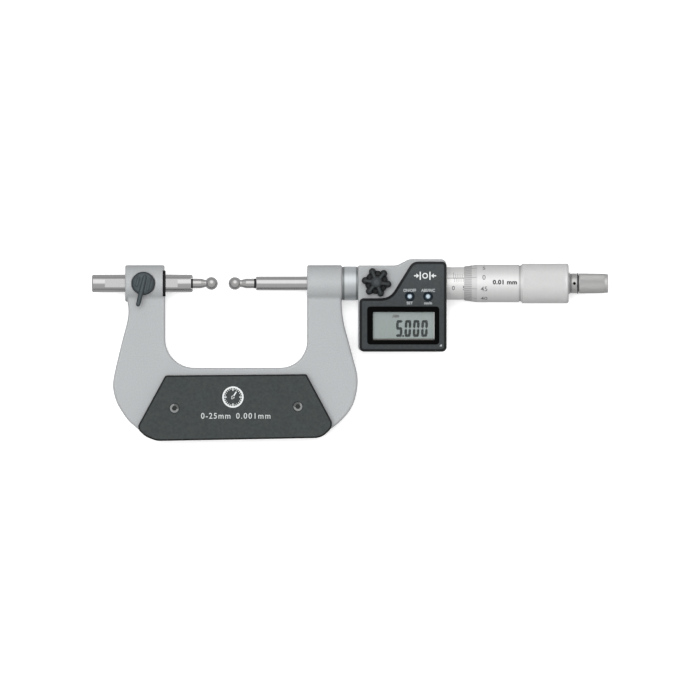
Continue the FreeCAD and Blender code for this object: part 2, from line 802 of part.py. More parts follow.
rs = S("spindle_dia") / 2
rt = S("screw_dia") / 2
done(
    minus(
        "spindle",
        turned(
            "spindle",
            [
                (S("spindle_face"), 0.0), (S("spindle_face"), rs - 0.3), (S("spindle_face") + 0.3, rs),
                (S("screw_start") - 1.0, rs), (S("screw_start"), rt - 0.3), (S("screw_start") + 0.3, rt),
                (S("screw_end"), rt), (S("screw_end") + 0.2, 3.6), (S("screw_end") + 1.0, 3.6),
                (S("screw_end") + 12.0, 3.13), (S("screw_end") + 12.0, 2.5), (S("screw_end") + 18.0, 2.5), (S("screw_end") + 18.0, 0.0),
            ],
        ),
        [
            cyl("spindle_tip_hole", S("tip_pin_dia") / 2 + 0.04, S("tip_pin_length") + 1.5, S("spindle_face") - 1.0, 0, 0, "x"),
            cyl("spindle_end_hole", 1.5, 11, S("screw_end") + 8.0, 0, 0, "x"),
            box("spindle_keyway", 31.0, 1.2, 1.0, 66.0, -0.6, -rs.value - 0.1),
        ],
    ),
    "spindle",
)

# ---- head: housing, case, display, encoder, battery ------------------------------------------------

HL, HR = S("head_left"), S("head_right")
head_outline = corners(
    [
        (HL.value, -31.6, 2.0), (HR.value, -31.6, 2.0), (HR.value, 11.4, 2.4), (87.15, 11.4, 5.0), (81.55, 8.45, 5.0), (HL.value, 8.45, 0.8),
    ]
)
case_outline = corners(
    [
        (64.2, -31.8, 2.0), (HR.value, -31.8, 2.0), (HR.value, 10.0, 1.8), (89.1, 10.0, 4.4), (78.4, -7.2, 7.6), (64.2, -7.2, 1.8),
    ]
)
case_sketch = free_sketch("case_outline", case_outline)
head_sketch = free_sketch("head_outline", head_outline)

screw_corners = [(67.0, -29.0), (101.9, -29.0), (101.9, 7.75), (67.0, -10.1)]

head_blank = risen("head_blank", head_sketch, -S("head_back"), S("head_front") + S("head_back"))
head_blank = rounded("head_front_round", head_blank, S("head_front"), 1.0)
lower = risen("head_lower_cavity", free_sketch("head_cavity_outline", rect(69.5, -26.6, 99.4, -9.6, 1.5)), -12.0, 24.0)
housing = minus(
    "head_housing",
    head_blank,
    [
        lower,
        cyl("head_bushing_hole", rB + 0.03, 6.0, HL - 1.0, 0, 0, "x"),
        cyl("head_spindle_hole", 4.5, 30.0, S("bush_end") - 0.5, 0, 0, "x"),
        cyl("head_encoder_room", 6.9, 13.0, 84.0, 0, 0, "x"),
        cyl("head_sleeve_hole", S("inner_sleeve_dia") / 2 + 0.03, 10.0, 96.5, 0, 0, "x"),
        box("head_wiring_way", 13.0, 8.0, 6.0, 84.0, -11.0, -3.0),
        cyl("head_lock_hole", 3.23, 8.0, S("knob_x"), S("knob_y"), 2.0),
    ]
    + [cyl("head_screw_hole_%d" % i, 0.9, 30.0, x, y, -15.0) for i, (x, y) in enumerate(screw_corners)],
)
done(housing, "head_housing")

gasket_outer = offset("gasket_outer", case_sketch, 0.25)
gasket_inner = offset("gasket_inner", case_sketch, -1.4)
zg = S("head_front")
done(
    minus("case_gasket", risen("gasket_slab", gasket_outer, zg, S("gasket_thick")), [risen("gasket_middle", gasket_inner, zg - 1.0, 3.0)]),
    "case_gasket",
)

zc = zg + S("gasket_thick")
case_slab = risen("case_slab", case_sketch, zc, S("case_front") - zc)
case_slab = rounded("case_front_edge", case_slab, S("case_front"), 1.0, "Part::Chamfer")
case_room = risen("case_room", offset("case_inside", case_sketch, -S("case_wall")), zc - 1.0, S("case_front") - zc - S("case_wall") + 1.0)
posts = [cyl("case_post_%d" % i, 1.75, 12.0, x, y, zc - 2.0) for i, (x, y) in enumerate(screw_corners)]
case_room = minus("case_room_round_posts", case_room, posts)
window_hole = risen("case_window_hole", free_sketch("window_hole_outline", rect(S("bezel_left"), S("bezel_low"), S("bezel_right"), S("bezel_high"), 1.5)), zc + 1.0, 10.0)
case = minus(
    "display_case",
    case_slab,
    [
        case_room,
        window_hole,
        cyl("left_button_hole", S("button_dia") / 2 + 0.08, 8.0, S("button_left_x"), S("button_y"), zc),
        cyl("right_button_hole", S("button_dia") / 2 + 0.08, 8.0, S("button_right_x"), S("button_y"), zc),
    ]
    + [cyl("case_screw_hole_%d" % i, 0.85, 4.0, x, y, zc - 1.0) for i, (x, y) in enumerate(screw_corners)],
)
done(case, "display_case")

zf = S("case_front")
bezel = risen("bezel_slab", free_sketch("bezel_outline", rect(S("bezel_left") + 0.04, S("bezel_low") + 0.04, S("bezel_right") - 0.04, S("bezel_high") - 0.04, 1.46)), zf - 1.7, 1.5)
bezel_hole = risen("bezel_hole", free_sketch("bezel_hole_outline", rect(S("lcd_left"), S("lcd_low"), S("lcd_right"), S("lcd_high"), 0.35)), zf - 3.0, 5.0)
done(minus("display_bezel", bezel, [bezel_hole]), "display_bezel")
done(
    box(
        "display_window_plate",
        S("lcd_right") - S("lcd_left") - 0.24, S("lcd_high") - S("lcd_low") - 0.24, 0.6,
        S("lcd_left") + 0.12, S("lcd_low") + 0.12, zf - 1.15,
    ),
    "display_window",
)
done(box("lcd_glass", 31.4, 15.2, 1.4, 69.1, -27.6, zf - 3.15), "lcd_panel")
strips = [box("strip_low", 28.0, 1.0, 0.42, 70.8, -27.2, zf - 3.6), box("strip_high", 28.0, 1.0, 0.42, 70.8, -13.7, zf - 3.6)]
group = doc.addObject("Part::Compound", "lcd_connector_strips")
group.Links = strips
done(group, "lcd_connector_strips")

board = risen(
    "board_blank",
    free_sketch(
        "board_outline",
        [(66.1, -30.0), (102.9, -30.0), (102.9, 8.0), (91.6, 8.0), (89.5, 7.0), (83.0, -3.2), (78.6, -8.2), (74.0, -9.1), (66.1, -9.1)],
    ),
    zg + 0.02,
    0.75,
)
done(minus("circuit_board", board, [cyl("board_notch_%d" % i, 1.95, 4.0, x, y, zg - 1.0) for i, (x, y) in enumerate(screw_corners)]), "circuit_board")
switches = [cyl("switch_%s" % n, 1.5, 0.5, S("button_%s_x" % n), S("button_y"), zg + 0.77) for n in ("left", "right")]
group = doc.addObject("Part::Compound", "tactile_switches")
group.Links = switches
done(group, "tactile_switches")


def button(name, x):
    """Round cap with a domed middle, and a flange that keeps it behind the case's wall."""
    b = body(name)
    sk = sketch_on(b, "XZ_Plane", name + "_profile")
    r = S("button_dia") / 2
    z = S("case_front")
    draw(
        sk,
        [
            (0.0, z - 2.35), (r + 0.4, z - 2.35), (r + 0.4, z - 1.45), (r, z - 1.45), (r, z + 0.05), (r - 0.3, z + 0.3),
            (1.35, z + 0.12), (1.25, z + 0.22), ("arc", 0.782, z + 0.616), (0.2, z + 0.8075), (0.0, z + 0.8075),
        ],
    )
    rev = b.newObject("PartDesign::Revolution", name + "_turned")
    rev.Profile = sk
    rev.ReferenceAxis = (sk, ["V_Axis"])
    rev.Angle = 360
    b.Label = name
    place(b, S("shift_along") + x, S("shift_up") + S("button_y"), S("axis_height"))
    PIECES.append((b, name))


button("left_button", S("button_left_x"))
button("right_button", S("button_right_x"))

# encoder: the rotor turns with the spindle through a key in its keyway, the stator is fixed
done(
    minus(
        "encoder_rotor",
        turned("encoder_rotor", [(85.5, rs + 0.04), (85.5, 5.2), (88.0, 5.2), (88.0, 6.4), (90.4, 6.4), (90.4, rs + 0.04)]),
        [box("rotor_slot", 3.2, 1.16, 2.5, 87.6, -0.58, -5.02)],
    ),
    "encoder_rotor",
)
done(box("key_bar", 3.0, 1.1, 2.38, 87.7, -0.55, -5.0), "rotor_key")
done(turned("encoder_stator", [(91.0, 3.7), (91.0, 6.87), (92.6, 6.87), (92.6, 3.7)]), "encoder_stator")

# back of the head
back = risen("back_slab", head_sketch, -S("plate_out"), S("plate_out") - S("head_back"))
back = rounded("back_edge", back, -S("plate_out"), 0.5, "Part::Chamfer")
bx, by, zb = S("battery_x"), S("battery_y"), -S("plate_out")
done(
    minus(
        "head_back_cover",
        back,
        [cyl("cap_seat", 7.4, 2.0, bx, by, zb - 1.1), cyl("cap_mouth", 6.6, 4.0, bx, by, zb - 1.0)]
        + [cyl("cover_screw_hole_%d" % i, 0.9, 4.0, x, y, zb - 1.0) for i, (x, y) in enumerate(screw_corners)]
        + [cyl("cover_screw_sink_%d" % i, 1.75, 2.0, x, y, zb - 1.0) for i, (x, y) in enumerate(screw_corners)],
    ),
    "head_back_cover",
)
cap = joined("cap_whole", [cyl("cap_head", 7.3, 0.78, bx, by, zb + 0.1), cyl("cap_neck", 6.0, 1.2, bx, by, zb + 0.8)])
done(minus("battery_cap", cap, [box("coin_slot", 10.0, 1.4, 0.6, bx - 5.0, by - 0.7, zb)]), "battery_cap")
done(minus("battery_seal", cyl("seal_disc", 6.56, 0.6, bx, by, zb + 0.95), [cyl("seal_middle", 6.04, 3.0, bx, by, zb - 0.5)]), "battery_seal")
rbat = S("battery_dia") / 2
done(cyl("battery_cell", rbat, 5.3, bx, by, zb + 2.1), "battery")
done(cyl("contact_leaf", 3.0, 0.25, bx, by, zb + 7.45), "battery_contact")
holder = cyl("holder_outside", rbat + 1.5, 6.85, bx, by, zb + 2.05)
done(minus("battery_holder", holder, [cyl("holder_room", rbat + 0.1, 5.7, bx, by, zb + 2.0)]), "battery_holder")
long_screws = []
for i, (x, y) in enumerate(screw_corners):
    head = cyl("case_screw_head_%d" % i, 1.65, 0.85, x, y, zb + 0.1)
    shank = cyl("case_screw_shank_%d" % i, 0.8, 20.3, x, y, zb + 0.5)
    cross = [box("cross_a_%d" % i, 1.9, 0.4, 0.5, x - 0.95, y - 0.2, zb), box("cross_b_%d" % i, 0.4, 1.9, 0.5, x - 0.2, y - 0.95, zb)]
    long_screws.append(minus("case_screw_%d" % i, joined("case_screw_whole_%d" % i, [head, shank]), cross))
group = doc.addObject("Part::Compound", "case_screws")
group.Links = long_screws
done(group, "case_screws")

# lock: brass bush in the housing, screw with a lobed knob, and a brass pad on the spindle
kx, ky = S("knob_x"), S("knob_y")
done(minus("lock_bush", joined("bush_whole", [cyl("bush_stem", 3.2, 5.2, kx, ky, 3.6), cyl("bush_flange", 4.2, 0.75, kx, ky, zg)]), [cyl("bush_hole", 2.05, 12.0, kx, ky, 0.0)]), "lock_bush")
done(cyl("lock_pad_disc", 1.9, 1.0, kx, ky, rs + 0.03), "lock_pad")
done(cyl("lock_screw_stud", 2.0, 9.6, kx, ky, rs + 1.1), "lock_screw")

lobes = [51.0 + 60.0 * i for i in range(6)]


def knob_outline():
    """Six lobes with rounded shoulders, and a rounded valley between each two."""
    rl, rv = VALUE["knob_lobe"], VALUE["knob_valley"]
    order = sorted(a % 360.0 for a in lobes)
    points = []
    for i, a in enumerate(order):
        nxt = order[(i + 1) % 6] + (360.0 if i == 5 else 0.0)
        for ang, r, q in ((a - 10.0, rl + 0.25, 0.95), (a + 10.0, rl + 0.25, 0.95), ((a + nxt) / 2, rv - 0.9, 2.0)):
            points.append((r * math.cos(math.radians(ang)), r * math.sin(math.radians(ang)), q))
    return corners(points)


knob = risen("knob_blank", free_sketch("knob_profile", knob_outline()), 0.0, S("knob_top") - S("knob_base"))
place(knob, kx, ky, S("knob_base"))
knob = rounded("knob_lower_edge", knob, S("knob_base"), 0.5, "Part::Chamfer")
cone = doc.addObject("Part::Cone", "knob_crown")
cone.Radius1, cone.Radius2, cone.Height = 9.6, 1.6, 8.0
place(cone, kx, ky, S("knob_top") - 7.0)
knob = both("knob_crowned", knob, cone)
valley_cuts = []
order = sorted(a % 360.0 for a in lobes)
for i, a in enumerate(order):
    nxt = order[(i + 1) % 6] + (360.0 if i == 5 else 0.0)
    mid = math.radians((a + nxt) / 2)
    c = doc.addObject("Part::Cylinder", "knob_valley_%d" % i)
    c.Radius, c.Height = 1.9, 9.0
    away = V(math.cos(mid) * 0.88, math.sin(mid) * 0.88, -0.475)
    start = V(kx.value, ky.value, VALUE["knob_top"] + 2.25) + V(math.cos(mid), math.sin(mid), 0) * 1.6
    c.Placement = FreeCAD.Placement(start, FreeCAD.Rotation(V(0, 0, 1), away))
    valley_cuts.append(c)
done(minus("lock_knob", knob, valley_cuts + [cyl("knob_stud_hole", 2.03, 5.6, kx, ky, S("knob_base") - 1.0)]), "lock_knob")

# ---- barrel, thimble ----------------------------------------------------------------------------

ri = S("inner_sleeve_dia") / 2
inner = turned(
    "inner_sleeve_tube",
    [(97.2, 4.3), (97.2, ri), (S("sleeve_end") + 4.4, ri), (S("sleeve_end") + 4.4, rt + 0.05), (124.0, rt + 0.05), (124.0, 4.3)],
)
slits = []
for i in range(3):
    c = box("nut_slit_%d" % i, 11.0, 0.6, 8.0, 128.0, 0, 0)
    c.Placement = FreeCAD.Placement(V(128.0, 0, 0), FreeCAD.Rotation(V(1, 0, 0), 120.0 * i + 60.0))
    slits.append(c)
done(minus("inner_sleeve", inner, slits), "inner_sleeve")
done(
    turned(
        "graduated_sleeve",
        [(HR, S("sleeve_bore") / 2), (HR, S("sleeve_dia") / 2), (S("sleeve_end") - 0.3, S("sleeve_dia") / 2), (S("sleeve_end"), S("sleeve_dia") / 2 - 0.3), (S("sleeve_end"), S("sleeve_bore") / 2)],
    ),
    "graduated_sleeve",
)
done(
    turned(
        "adjusting_nut",
        [(S("sleeve_end") + 0.2, ri + 0.04), (S("sleeve_end") + 0.2, 7.5), (S("sleeve_end") + 4.2, 7.5), (S("sleeve_end") + 4.2, ri + 0.04)],
    ),
    "adjusting_nut",
)
TF0, TS, GS, GE = S("thimble_front"), S("thimble_step"), S("grip_start"), S("grip_end")
rth, rgr = S("thimble_dia") / 2, S("grip_dia") / 2
done(
    turned(
        "thimble",
        [
            (TF0, S("thimble_bore") / 2), (TF0, S("thimble_edge_dia") / 2), (TF0 + 3.6, rth - 0.32), (TF0 + 6.1, rth),
            (TS, rth), (TS + 0.05, rth - 0.45), (TS + 0.80, rth - 0.45), (TS + 0.85, rth), (GS, rth), (GS, rgr - 0.95), (GE - 1.1, rgr - 0.95), (GE - 1.1, 6.8),
            (S("screw_end") + 12.4, 6.8), (S("screw_end") + 12.4, 3.18), (S("screw_end") + 1.0, 3.66), (S("screw_end") + 0.8, 3.66),
            (S("screw_end") + 0.8, S("thimble_bore") / 2),
        ],
    ),
    "thimble",
)
q = S("grip_round")
done(
    turned(
        "thimble_grip",
        [
            (GS + 0.02, rgr - 0.92), (GS + 0.02, rgr - 0.25), (GS + 0.27, rgr), (GE - q, rgr), ("arc", GE - q * K, rgr - q * K, q),
            (GE, rgr - q), (GE, 5.1), (GE - 1.0, 5.1), (GE - 1.0, rgr - 0.92),
        ],
    ),
    "thimble_grip",
)
nut = turned("thimble_nut_ring", [(155.42, 2.55), (155.42, 6.0), (158.4, 6.0), (158.4, 2.55)])
done(minus("thimble_nut", nut, [box("nut_slot", 1.2, 14.0, 1.4, 157.5, -7.0, -0.7)]), "thimble_nut")

# ---- ratchet --------------------------------------------------------------------------------------

rk, rg = S("ratchet_dia") / 2, S("ratchet_ring_dia") / 2
neck_end = 163.75
done(
    minus(
        "ratchet_body",
        turned(
            "ratchet_body_turned",
            [
                (158.7, 2.55), (158.7, 4.2), (161.9, 4.2), (161.9, 4.95), (162.6, 4.95), (162.85, 4.7), (162.85, rg - 0.75),
                (neck_end, rg - 0.75), (neck_end, rg), (166.1, rg), (166.1, 2.05), (161.3, 2.05), (161.3, 2.55),
            ],
        ),
        [cyl("spanner_hole", 0.7, 3.0, 164.9, 0, 2.4)],
    ),
    "ratchet_body",
)
done(turned("ratchet_disc", [(166.15, 2.05), (166.15, 4.8), (166.78, 4.8), (166.78, 3.85), (167.8, 3.85), (167.8, 2.05)]), "ratchet_disc")
done(
    turned(
        "ratchet_knob",
        [
            (S("ratchet_start"), 3.95), (S("ratchet_start"), rk - 0.25), (S("ratchet_start") + 0.25, rk), (S("ratchet_end") - 1.55, rk - 0.15),
            (S("ratchet_end") - 1.45, rk - 0.27), (S("ratchet_end") - 0.35, rk - 0.27), (S("ratchet_end"), rk - 0.6), (S("ratchet_end"), 3.1),
            (177.4, 3.1), (177.4, 2.06), (170.3, 2.06), (170.3, 3.95),
        ],
    ),
    "ratchet_knob",
)
done(
    minus(
        "ratchet_screw",
        turned("ratchet_screw_turned", [(152.0, 0.0), (152.0, 1.45), (161.4, 1.45), (161.4, 2.0), (177.45, 2.0), (177.45, 2.9), (179.6, 2.9), (179.6, 0.0)]),
        [box("driver_slot", 1.0, 7.0, 0.7, 178.8, -3.5, -0.35)],
    ),
    "ratchet_screw",
)
done(
    turned("ratchet_cap", [(179.75, 0.0), (179.75, 3.05), (S("ratchet_end") - 0.15, 3.05), (S("ratchet_end") - 0.1, 2.95), (S("ratchet_end") - 0.1, 0.0)]),
    "ratchet_cap",
)

# conical spring washer between the disc and the knob's floor
done(turned("ratchet_spring", [(167.85, 3.6), (168.25, 3.72), (170.25, 2.5), (169.85, 2.3)]), "ratchet_spring")

# ---- checks and files -------------------------------------------------------------------------------

doc.recompute()
bad = [o.Name for o in doc.Objects if "Invalid" in o.State or "Error" in o.State]
if bad:
    raise RuntimeError("failed objects: " + ", ".join(bad))
for obj, label in PIECES:
    if obj.Shape.isNull() or not obj.Shape.isValid() or not obj.Shape.Solids:
        raise RuntimeError("no valid solid in " + label)
    if obj.Label != label:
        raise RuntimeError("label taken: " + label)
for old in os.listdir("parts"):
    if old.endswith(".step"):
        os.remove(os.path.join("parts", old))
total = FreeCAD.BoundBox()
for obj, label in PIECES:
    obj.Shape.exportStep(os.path.join("parts", label + ".step"))
    total.add(obj.Shape.BoundBox)
print("%d pieces, %s" % (len(PIECES), total))
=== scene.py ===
import math

import bmesh
import bpy
from mathutils import Matrix, Vector


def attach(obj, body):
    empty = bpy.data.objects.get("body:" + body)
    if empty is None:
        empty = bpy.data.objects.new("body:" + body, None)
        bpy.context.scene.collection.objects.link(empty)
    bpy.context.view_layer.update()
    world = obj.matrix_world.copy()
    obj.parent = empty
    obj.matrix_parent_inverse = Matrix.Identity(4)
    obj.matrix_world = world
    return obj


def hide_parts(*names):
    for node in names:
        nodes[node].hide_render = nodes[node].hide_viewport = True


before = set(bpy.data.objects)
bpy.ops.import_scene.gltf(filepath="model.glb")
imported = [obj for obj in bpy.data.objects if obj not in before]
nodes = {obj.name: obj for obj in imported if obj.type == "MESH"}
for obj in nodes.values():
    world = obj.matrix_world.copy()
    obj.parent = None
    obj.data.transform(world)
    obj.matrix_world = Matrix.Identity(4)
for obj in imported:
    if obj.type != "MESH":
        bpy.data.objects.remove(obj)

scene = bpy.context.scene
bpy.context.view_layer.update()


# ---- places ------------------------------------------------------------------------------------
# Lengths below are in millimetres, from the spindle's axis at the middle of the measuring gap:
# X along the spindle, Y up the frame, Z out of the display.


def P(x, y, z):
    return Vector(((x - 59.55) / 1000.0, (y + 31.25) / 1000.0, (z + 9.5) / 1000.0))


def add_mesh(name, verts, faces, mat, body, stands_for=(), smooth=False, raw=False):
    me = bpy.data.meshes.new(name)
    me.from_pydata([v if raw else P(*v) for v in verts], [], faces)
    bm = bmesh.new()
    bm.from_mesh(me)
    bmesh.ops.recalc_face_normals(bm, faces=bm.faces)
    bm.to_mesh(me)
    bm.free()
    for p in me.polygons:
        p.use_smooth = smooth
    me.materials.append(mat)
    ob = bpy.data.objects.new(name, me)
    scene.collection.objects.link(ob)
    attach(ob, body)
    if stands_for:
        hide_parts(*stands_for)
    return ob


# ---- materials ---------------------------------------------------------------------------------


class Finish:
    """A procedural material: a Principled shader and the nodes that feed its colour, roughness and bump."""

    def __init__(self, name, rough=0.5, metal=0.0, spec=0.5, coat=0.0, coat_rough=0.1, ior=1.5):
        self.mat = bpy.data.materials.new(name)
        self.mat.use_nodes = True
        self.nt = self.mat.node_tree
        self.bsdf = self.nt.nodes["Principled BSDF"]
        self.set("Roughness", rough)
        self.set("Metallic", metal)
        self.set("Specular IOR Level", spec)
        self.set("Coat Weight", coat)
        self.set("Coat Roughness", coat_rough)
        self.set("IOR", ior)
        tc = self.nt.nodes.new("ShaderNodeTexCoord")
        self.place = tc.outputs["Object"]

    def set(self, socket, value):
        self.bsdf.inputs[socket].default_value = value

    def link(self, out, socket):
        self.nt.links.new(out, self.bsdf.inputs[socket])

    def stretched(self, sx, sy, sz, shift=(0.0, 0.0, 0.0)):
        n = self.nt.nodes.new("ShaderNodeMapping")
        n.inputs["Location"].default_value = shift
        n.inputs["Scale"].default_value = (sx, sy, sz)
        self.nt.links.new(self.place, n.inputs["Vector"])
        return n.outputs["Vector"]

    def noise(self, scale, detail=2.0, rough=0.5, vector=None):
        n = self.nt.nodes.new("ShaderNodeTexNoise")
        n.inputs["Scale"].default_value = scale
        n.inputs["Detail"].default_value = detail
        n.inputs["Roughness"].default_value = rough
        self.nt.links.new(vector or self.place, n.inputs["Vector"])
        return n.outputs["Fac"]

    def ramp(self, fac, stops):
        n = self.nt.nodes.new("ShaderNodeValToRGB")
        els = n.color_ramp.elements
        while len(els) < len(stops):
            els.new(0.5)
        for e, (pos, col) in zip(els, stops):
            e.position = pos
            e.color = (col, col, col, 1.0) if isinstance(col, float) else tuple(col) + (1.0,)
        self.nt.links.new(fac, n.inputs["Fac"])
        return n.outputs["Color"]

    def mixed(self, fac, a, b, how="MIX"):
        n = self.nt.nodes.new("ShaderNodeMix")
        n.data_type = "RGBA"
        n.blend_type = how
        n.clamp_factor = True
        for value, socket in ((fac, n.inputs[0]), (a, n.inputs[6]), (b, n.inputs[7])):
            if isinstance(value, bpy.types.NodeSocket):
                self.nt.links.new(value, socket)
            elif isinstance(value, (int, float)):
                socket.default_value = value
            else:
                socket.default_value = tuple(value) + (1.0,)
        return n.outputs[2]

    def maths(self, op, a, b=None):
        n = self.nt.nodes.new("ShaderNodeMath")
        n.operation = op
        for i, value in enumerate((a, b)):
            if isinstance(value, bpy.types.NodeSocket):
                self.nt.links.new(value, n.inputs[i])
            elif value is not None:
                n.inputs[i].default_value = value
        return n.outputs[0]

    def apart(self):
        n = self.nt.nodes.new("ShaderNodeSeparateXYZ")
        self.nt.links.new(self.place, n.inputs[0])
        return n.outputs[0], n.outputs[1], n.outputs[2]

    def away(self, centre):
        """Distance in metres from a point."""
        n = self.nt.nodes.new("ShaderNodeVectorMath")
        n.operation = "DISTANCE"
        self.nt.links.new(self.place, n.inputs[0])
        n.inputs[1].default_value = centre
        return n.outputs["Value"]

    def ranged(self, value, a, b, c=0.0, d=1.0):
        n = self.nt.nodes.new("ShaderNodeMapRange")
        n.clamp = True
        for i, v in enumerate((a, b, c, d)):
            n.inputs[i + 1].default_value = v
        self.nt.links.new(value, n.inputs[0])
        return n.outputs[0]

    def facing(self):
        """How far the surface's own normal points along Z, either way."""
        n = self.nt.nodes.new("ShaderNodeTexCoord")
        sep = self.nt.nodes.new("ShaderNodeSeparateXYZ")
        self.nt.links.new(n.outputs["Normal"], sep.inputs[0])
        return self.maths("ABSOLUTE", sep.outputs[2])

    def edged(self, col, k, flat_from, flat_to):
        """Painted shade: darker on the bevel between a flat face and the side walls."""
        nz = self.facing()
        keep = self.maths("MAXIMUM", self.ranged(nz, flat_from, flat_to), self.ranged(nz, 0.10, 0.28, 1.0, 0.0))
        return self.mixed(keep, self.mixed(1.0, col, (k, k, k), "MULTIPLY"), col)

    def banded(self, col, bands):
        """Painted shade and painted highlights in bands along X, in millimetres: (from, to, factor, softness)."""
        x = self.apart()[0]
        for a, b, k, soft in bands:
            xa, xb, w = P(a, 0, 0).x, P(b, 0, 0).x, soft / 1000.0
            mask = self.maths("MINIMUM", self.ranged(x, xa - w, xa + w), self.ranged(x, xb - w, xb + w, 1.0, 0.0))
            col = self.mixed(mask, col, self.mixed(1.0, col, (k, k, k), "MULTIPLY"))
        return col

    def bump(self, height, distance, strength=1.0, under=None):
        n = self.nt.nodes.new("ShaderNodeBump")
        n.inputs["Strength"].default_value = strength
        n.inputs["Distance"].default_value = distance
        self.nt.links.new(height, n.inputs["Height"])
        if under is not None:
            self.nt.links.new(under, n.inputs["Normal"])
        return n.outputs["Normal"]


def tint(base, k):
    return tuple(min(1.0, c * k) for c in base)


def hammered_paint(name, base, rough=0.42):
    """Light grey baked paint with fine grains and a slightly uneven skin."""
    f = Finish(name, rough=rough, spec=0.45)
    grain = f.noise(2100.0, 3.0, 0.7)
    patch = f.noise(38.0, 2.0, 0.5)
    col = f.ramp(grain, [(0.30, tint(base, 0.80)), (0.48, base), (0.62, tint(base, 1.08)), (0.74, tint(base, 1.22))])
    col = f.mixed(f.ranged(patch, 0.3, 0.7, 0.0, 0.35), col, tint(base, 0.92))
    f.link(col, "Base Color")
    f.link(f.ranged(grain, 0.3, 0.7, rough - 0.06, rough + 0.10), "Roughness")
    skin = f.noise(1250.0, 3.0, 0.55)
    f.link(f.bump(skin, 0.00007, 0.55), "Normal")
    return f.mat


def moulded(name, base, rough=0.5, grain_size=0.22, depth=0.00002, spec=0.4, spread=0.10, edge=None, painted_top_light=None, cloudy=0.0):
    """Moulded plastic with a spark-eroded grain, a little cloudy where asked, lighter towards +Y as painted light and
    with painted shade on its bevels where asked.
    """
    f = Finish(name, rough=rough, spec=spec)
    s = 1000.0 / grain_size
    grain = f.noise(s, 2.0, 0.6)
    patch = f.noise(60.0, 3.0, 0.55)
    col = f.ramp(grain, [(0.3, tint(base, 1.0 - spread)), (0.7, tint(base, 1.0 + spread))])
    col = f.mixed(f.ranged(patch, 0.35, 0.7, 0.0, 0.5), col, tint(base, 1.16))
    if cloudy:
        small = f.noise(820.0, 3.0, 0.65)
        wide = f.noise(210.0, 2.0, 0.5)
        dim = f.mixed(1.0, col, (1.0 - cloudy, 1.0 - cloudy, 1.0 - cloudy * 0.9), "MULTIPLY")
        bright = f.mixed(1.0, col, (1.0 + cloudy, 1.0 + cloudy * 0.95, 1.0 + cloudy * 0.85), "MULTIPLY")
        col = f.mixed(f.ranged(small, 0.36, 0.64), dim, bright)
        col = f.mixed(f.ranged(wide, 0.35, 0.65, 0.0, 0.8), col, f.mixed(1.0, col, (1.07, 1.01, 0.97), "MULTIPLY"))
    # painted light: lighter towards +Y
    if painted_top_light:
        y0, y1, k = painted_top_light
        col = f.mixed(f.ranged(f.apart()[1], P(0, y0, 0).y, P(0, y1, 0).y), col, f.mixed(1.0, col, (k, k, k), "MULTIPLY"))
    # painted shade on the bevels
    if edge:
        col = f.edged(col, *edge)
    f.link(col, "Base Color")
    f.link(f.ranged(patch, 0.3, 0.7, rough - 0.05, rough + 0.06), "Roughness")
    f.link(f.bump(grain, depth, 0.6), "Normal")
    return f.mat


def steel(name, base, rough=0.25, lines=9000.0, depth=0.0000022, along="x", spread=0.06, metal=1.0, bands=(), hole=None):
    """Machined metal: very fine tool lines around the axis, and a few broader ones."""
    f = Finish(name, rough=rough, metal=metal)
    k = {"x": (1.0, 0.012, 0.012), "z": (0.012, 0.012, 1.0), "none": (1.0, 1.0, 1.0)}[along]
    v = f.stretched(*k)
    fine = f.noise(lines, 2.0, 0.6, v)
    broad = f.noise(lines / 14.0, 2.0, 0.5, v)
    patch = f.noise(90.0, 3.0, 0.6)
    col = f.ramp(fine, [(0.3, tint(base, 1.0 - spread)), (0.7, tint(base, 1.0 + spread))])
    col = f.mixed(f.ranged(broad, 0.35, 0.65, 0.0, 0.5), col, tint(base, 1.0 - spread * 0.8))
    # painted shade and painted highlights in bands along X, where given
    if bands:
        col = f.banded(col, bands)
    # painted shade: black inside a small circle round a pin hole, on the upper side
    if hole:
        hx, hy, hr = hole
        c = P(hx, hy, 0)
        x, y, z = f.apart()
        dx, dy = f.maths("SUBTRACT", x, c.x), f.maths("SUBTRACT", y, c.y)
        d = f.maths("SQRT", f.maths("ADD", f.maths("MULTIPLY", dx, dx), f.maths("MULTIPLY", dy, dy)))
        inside = f.maths("MINIMUM", f.ranged(d, hr, hr + 0.00003, 1.0, 0.0), f.ranged(z, P(0, 0, 1.5).z, P(0, 0, 2.0).z))
        col = f.mixed(inside, col, (0.004, 0.004, 0.004))
    f.link(col, "Base Color")
    r = f.ranged(patch, 0.3, 0.7, rough - 0.04 * min(1.0, spread * 20.0), rough + 0.05 * min(1.0, spread * 20.0))
    f.link(r, "Roughness")
    f.link(f.bump(fine, depth, 0.8), "Normal")
    return f.mat


def rubbery(name, base, rough=0.75):
    f = Finish(name, rough=rough, spec=0.3)
    grain = f.noise(5200.0, 2.0, 0.6)
    f.link(f.ramp(grain, [(0.3, tint(base, 0.8)), (0.7, tint(base, 1.3))]), "Base Color")
    f.link(f.bump(grain, 0.00001, 0.5), "Normal")
    return f.mat


def print_ink(name, base, rough=0.55):
    """Screen-printed or filled marks, slightly uneven in density."""
    f = Finish(name, rough=rough, spec=0.3)
    n = f.noise(3800.0, 3.0, 0.6)
    f.link(f.ramp(n, [(0.3, tint(base, 0.86)), (0.62, base)]), "Base Color")
    return f.mat


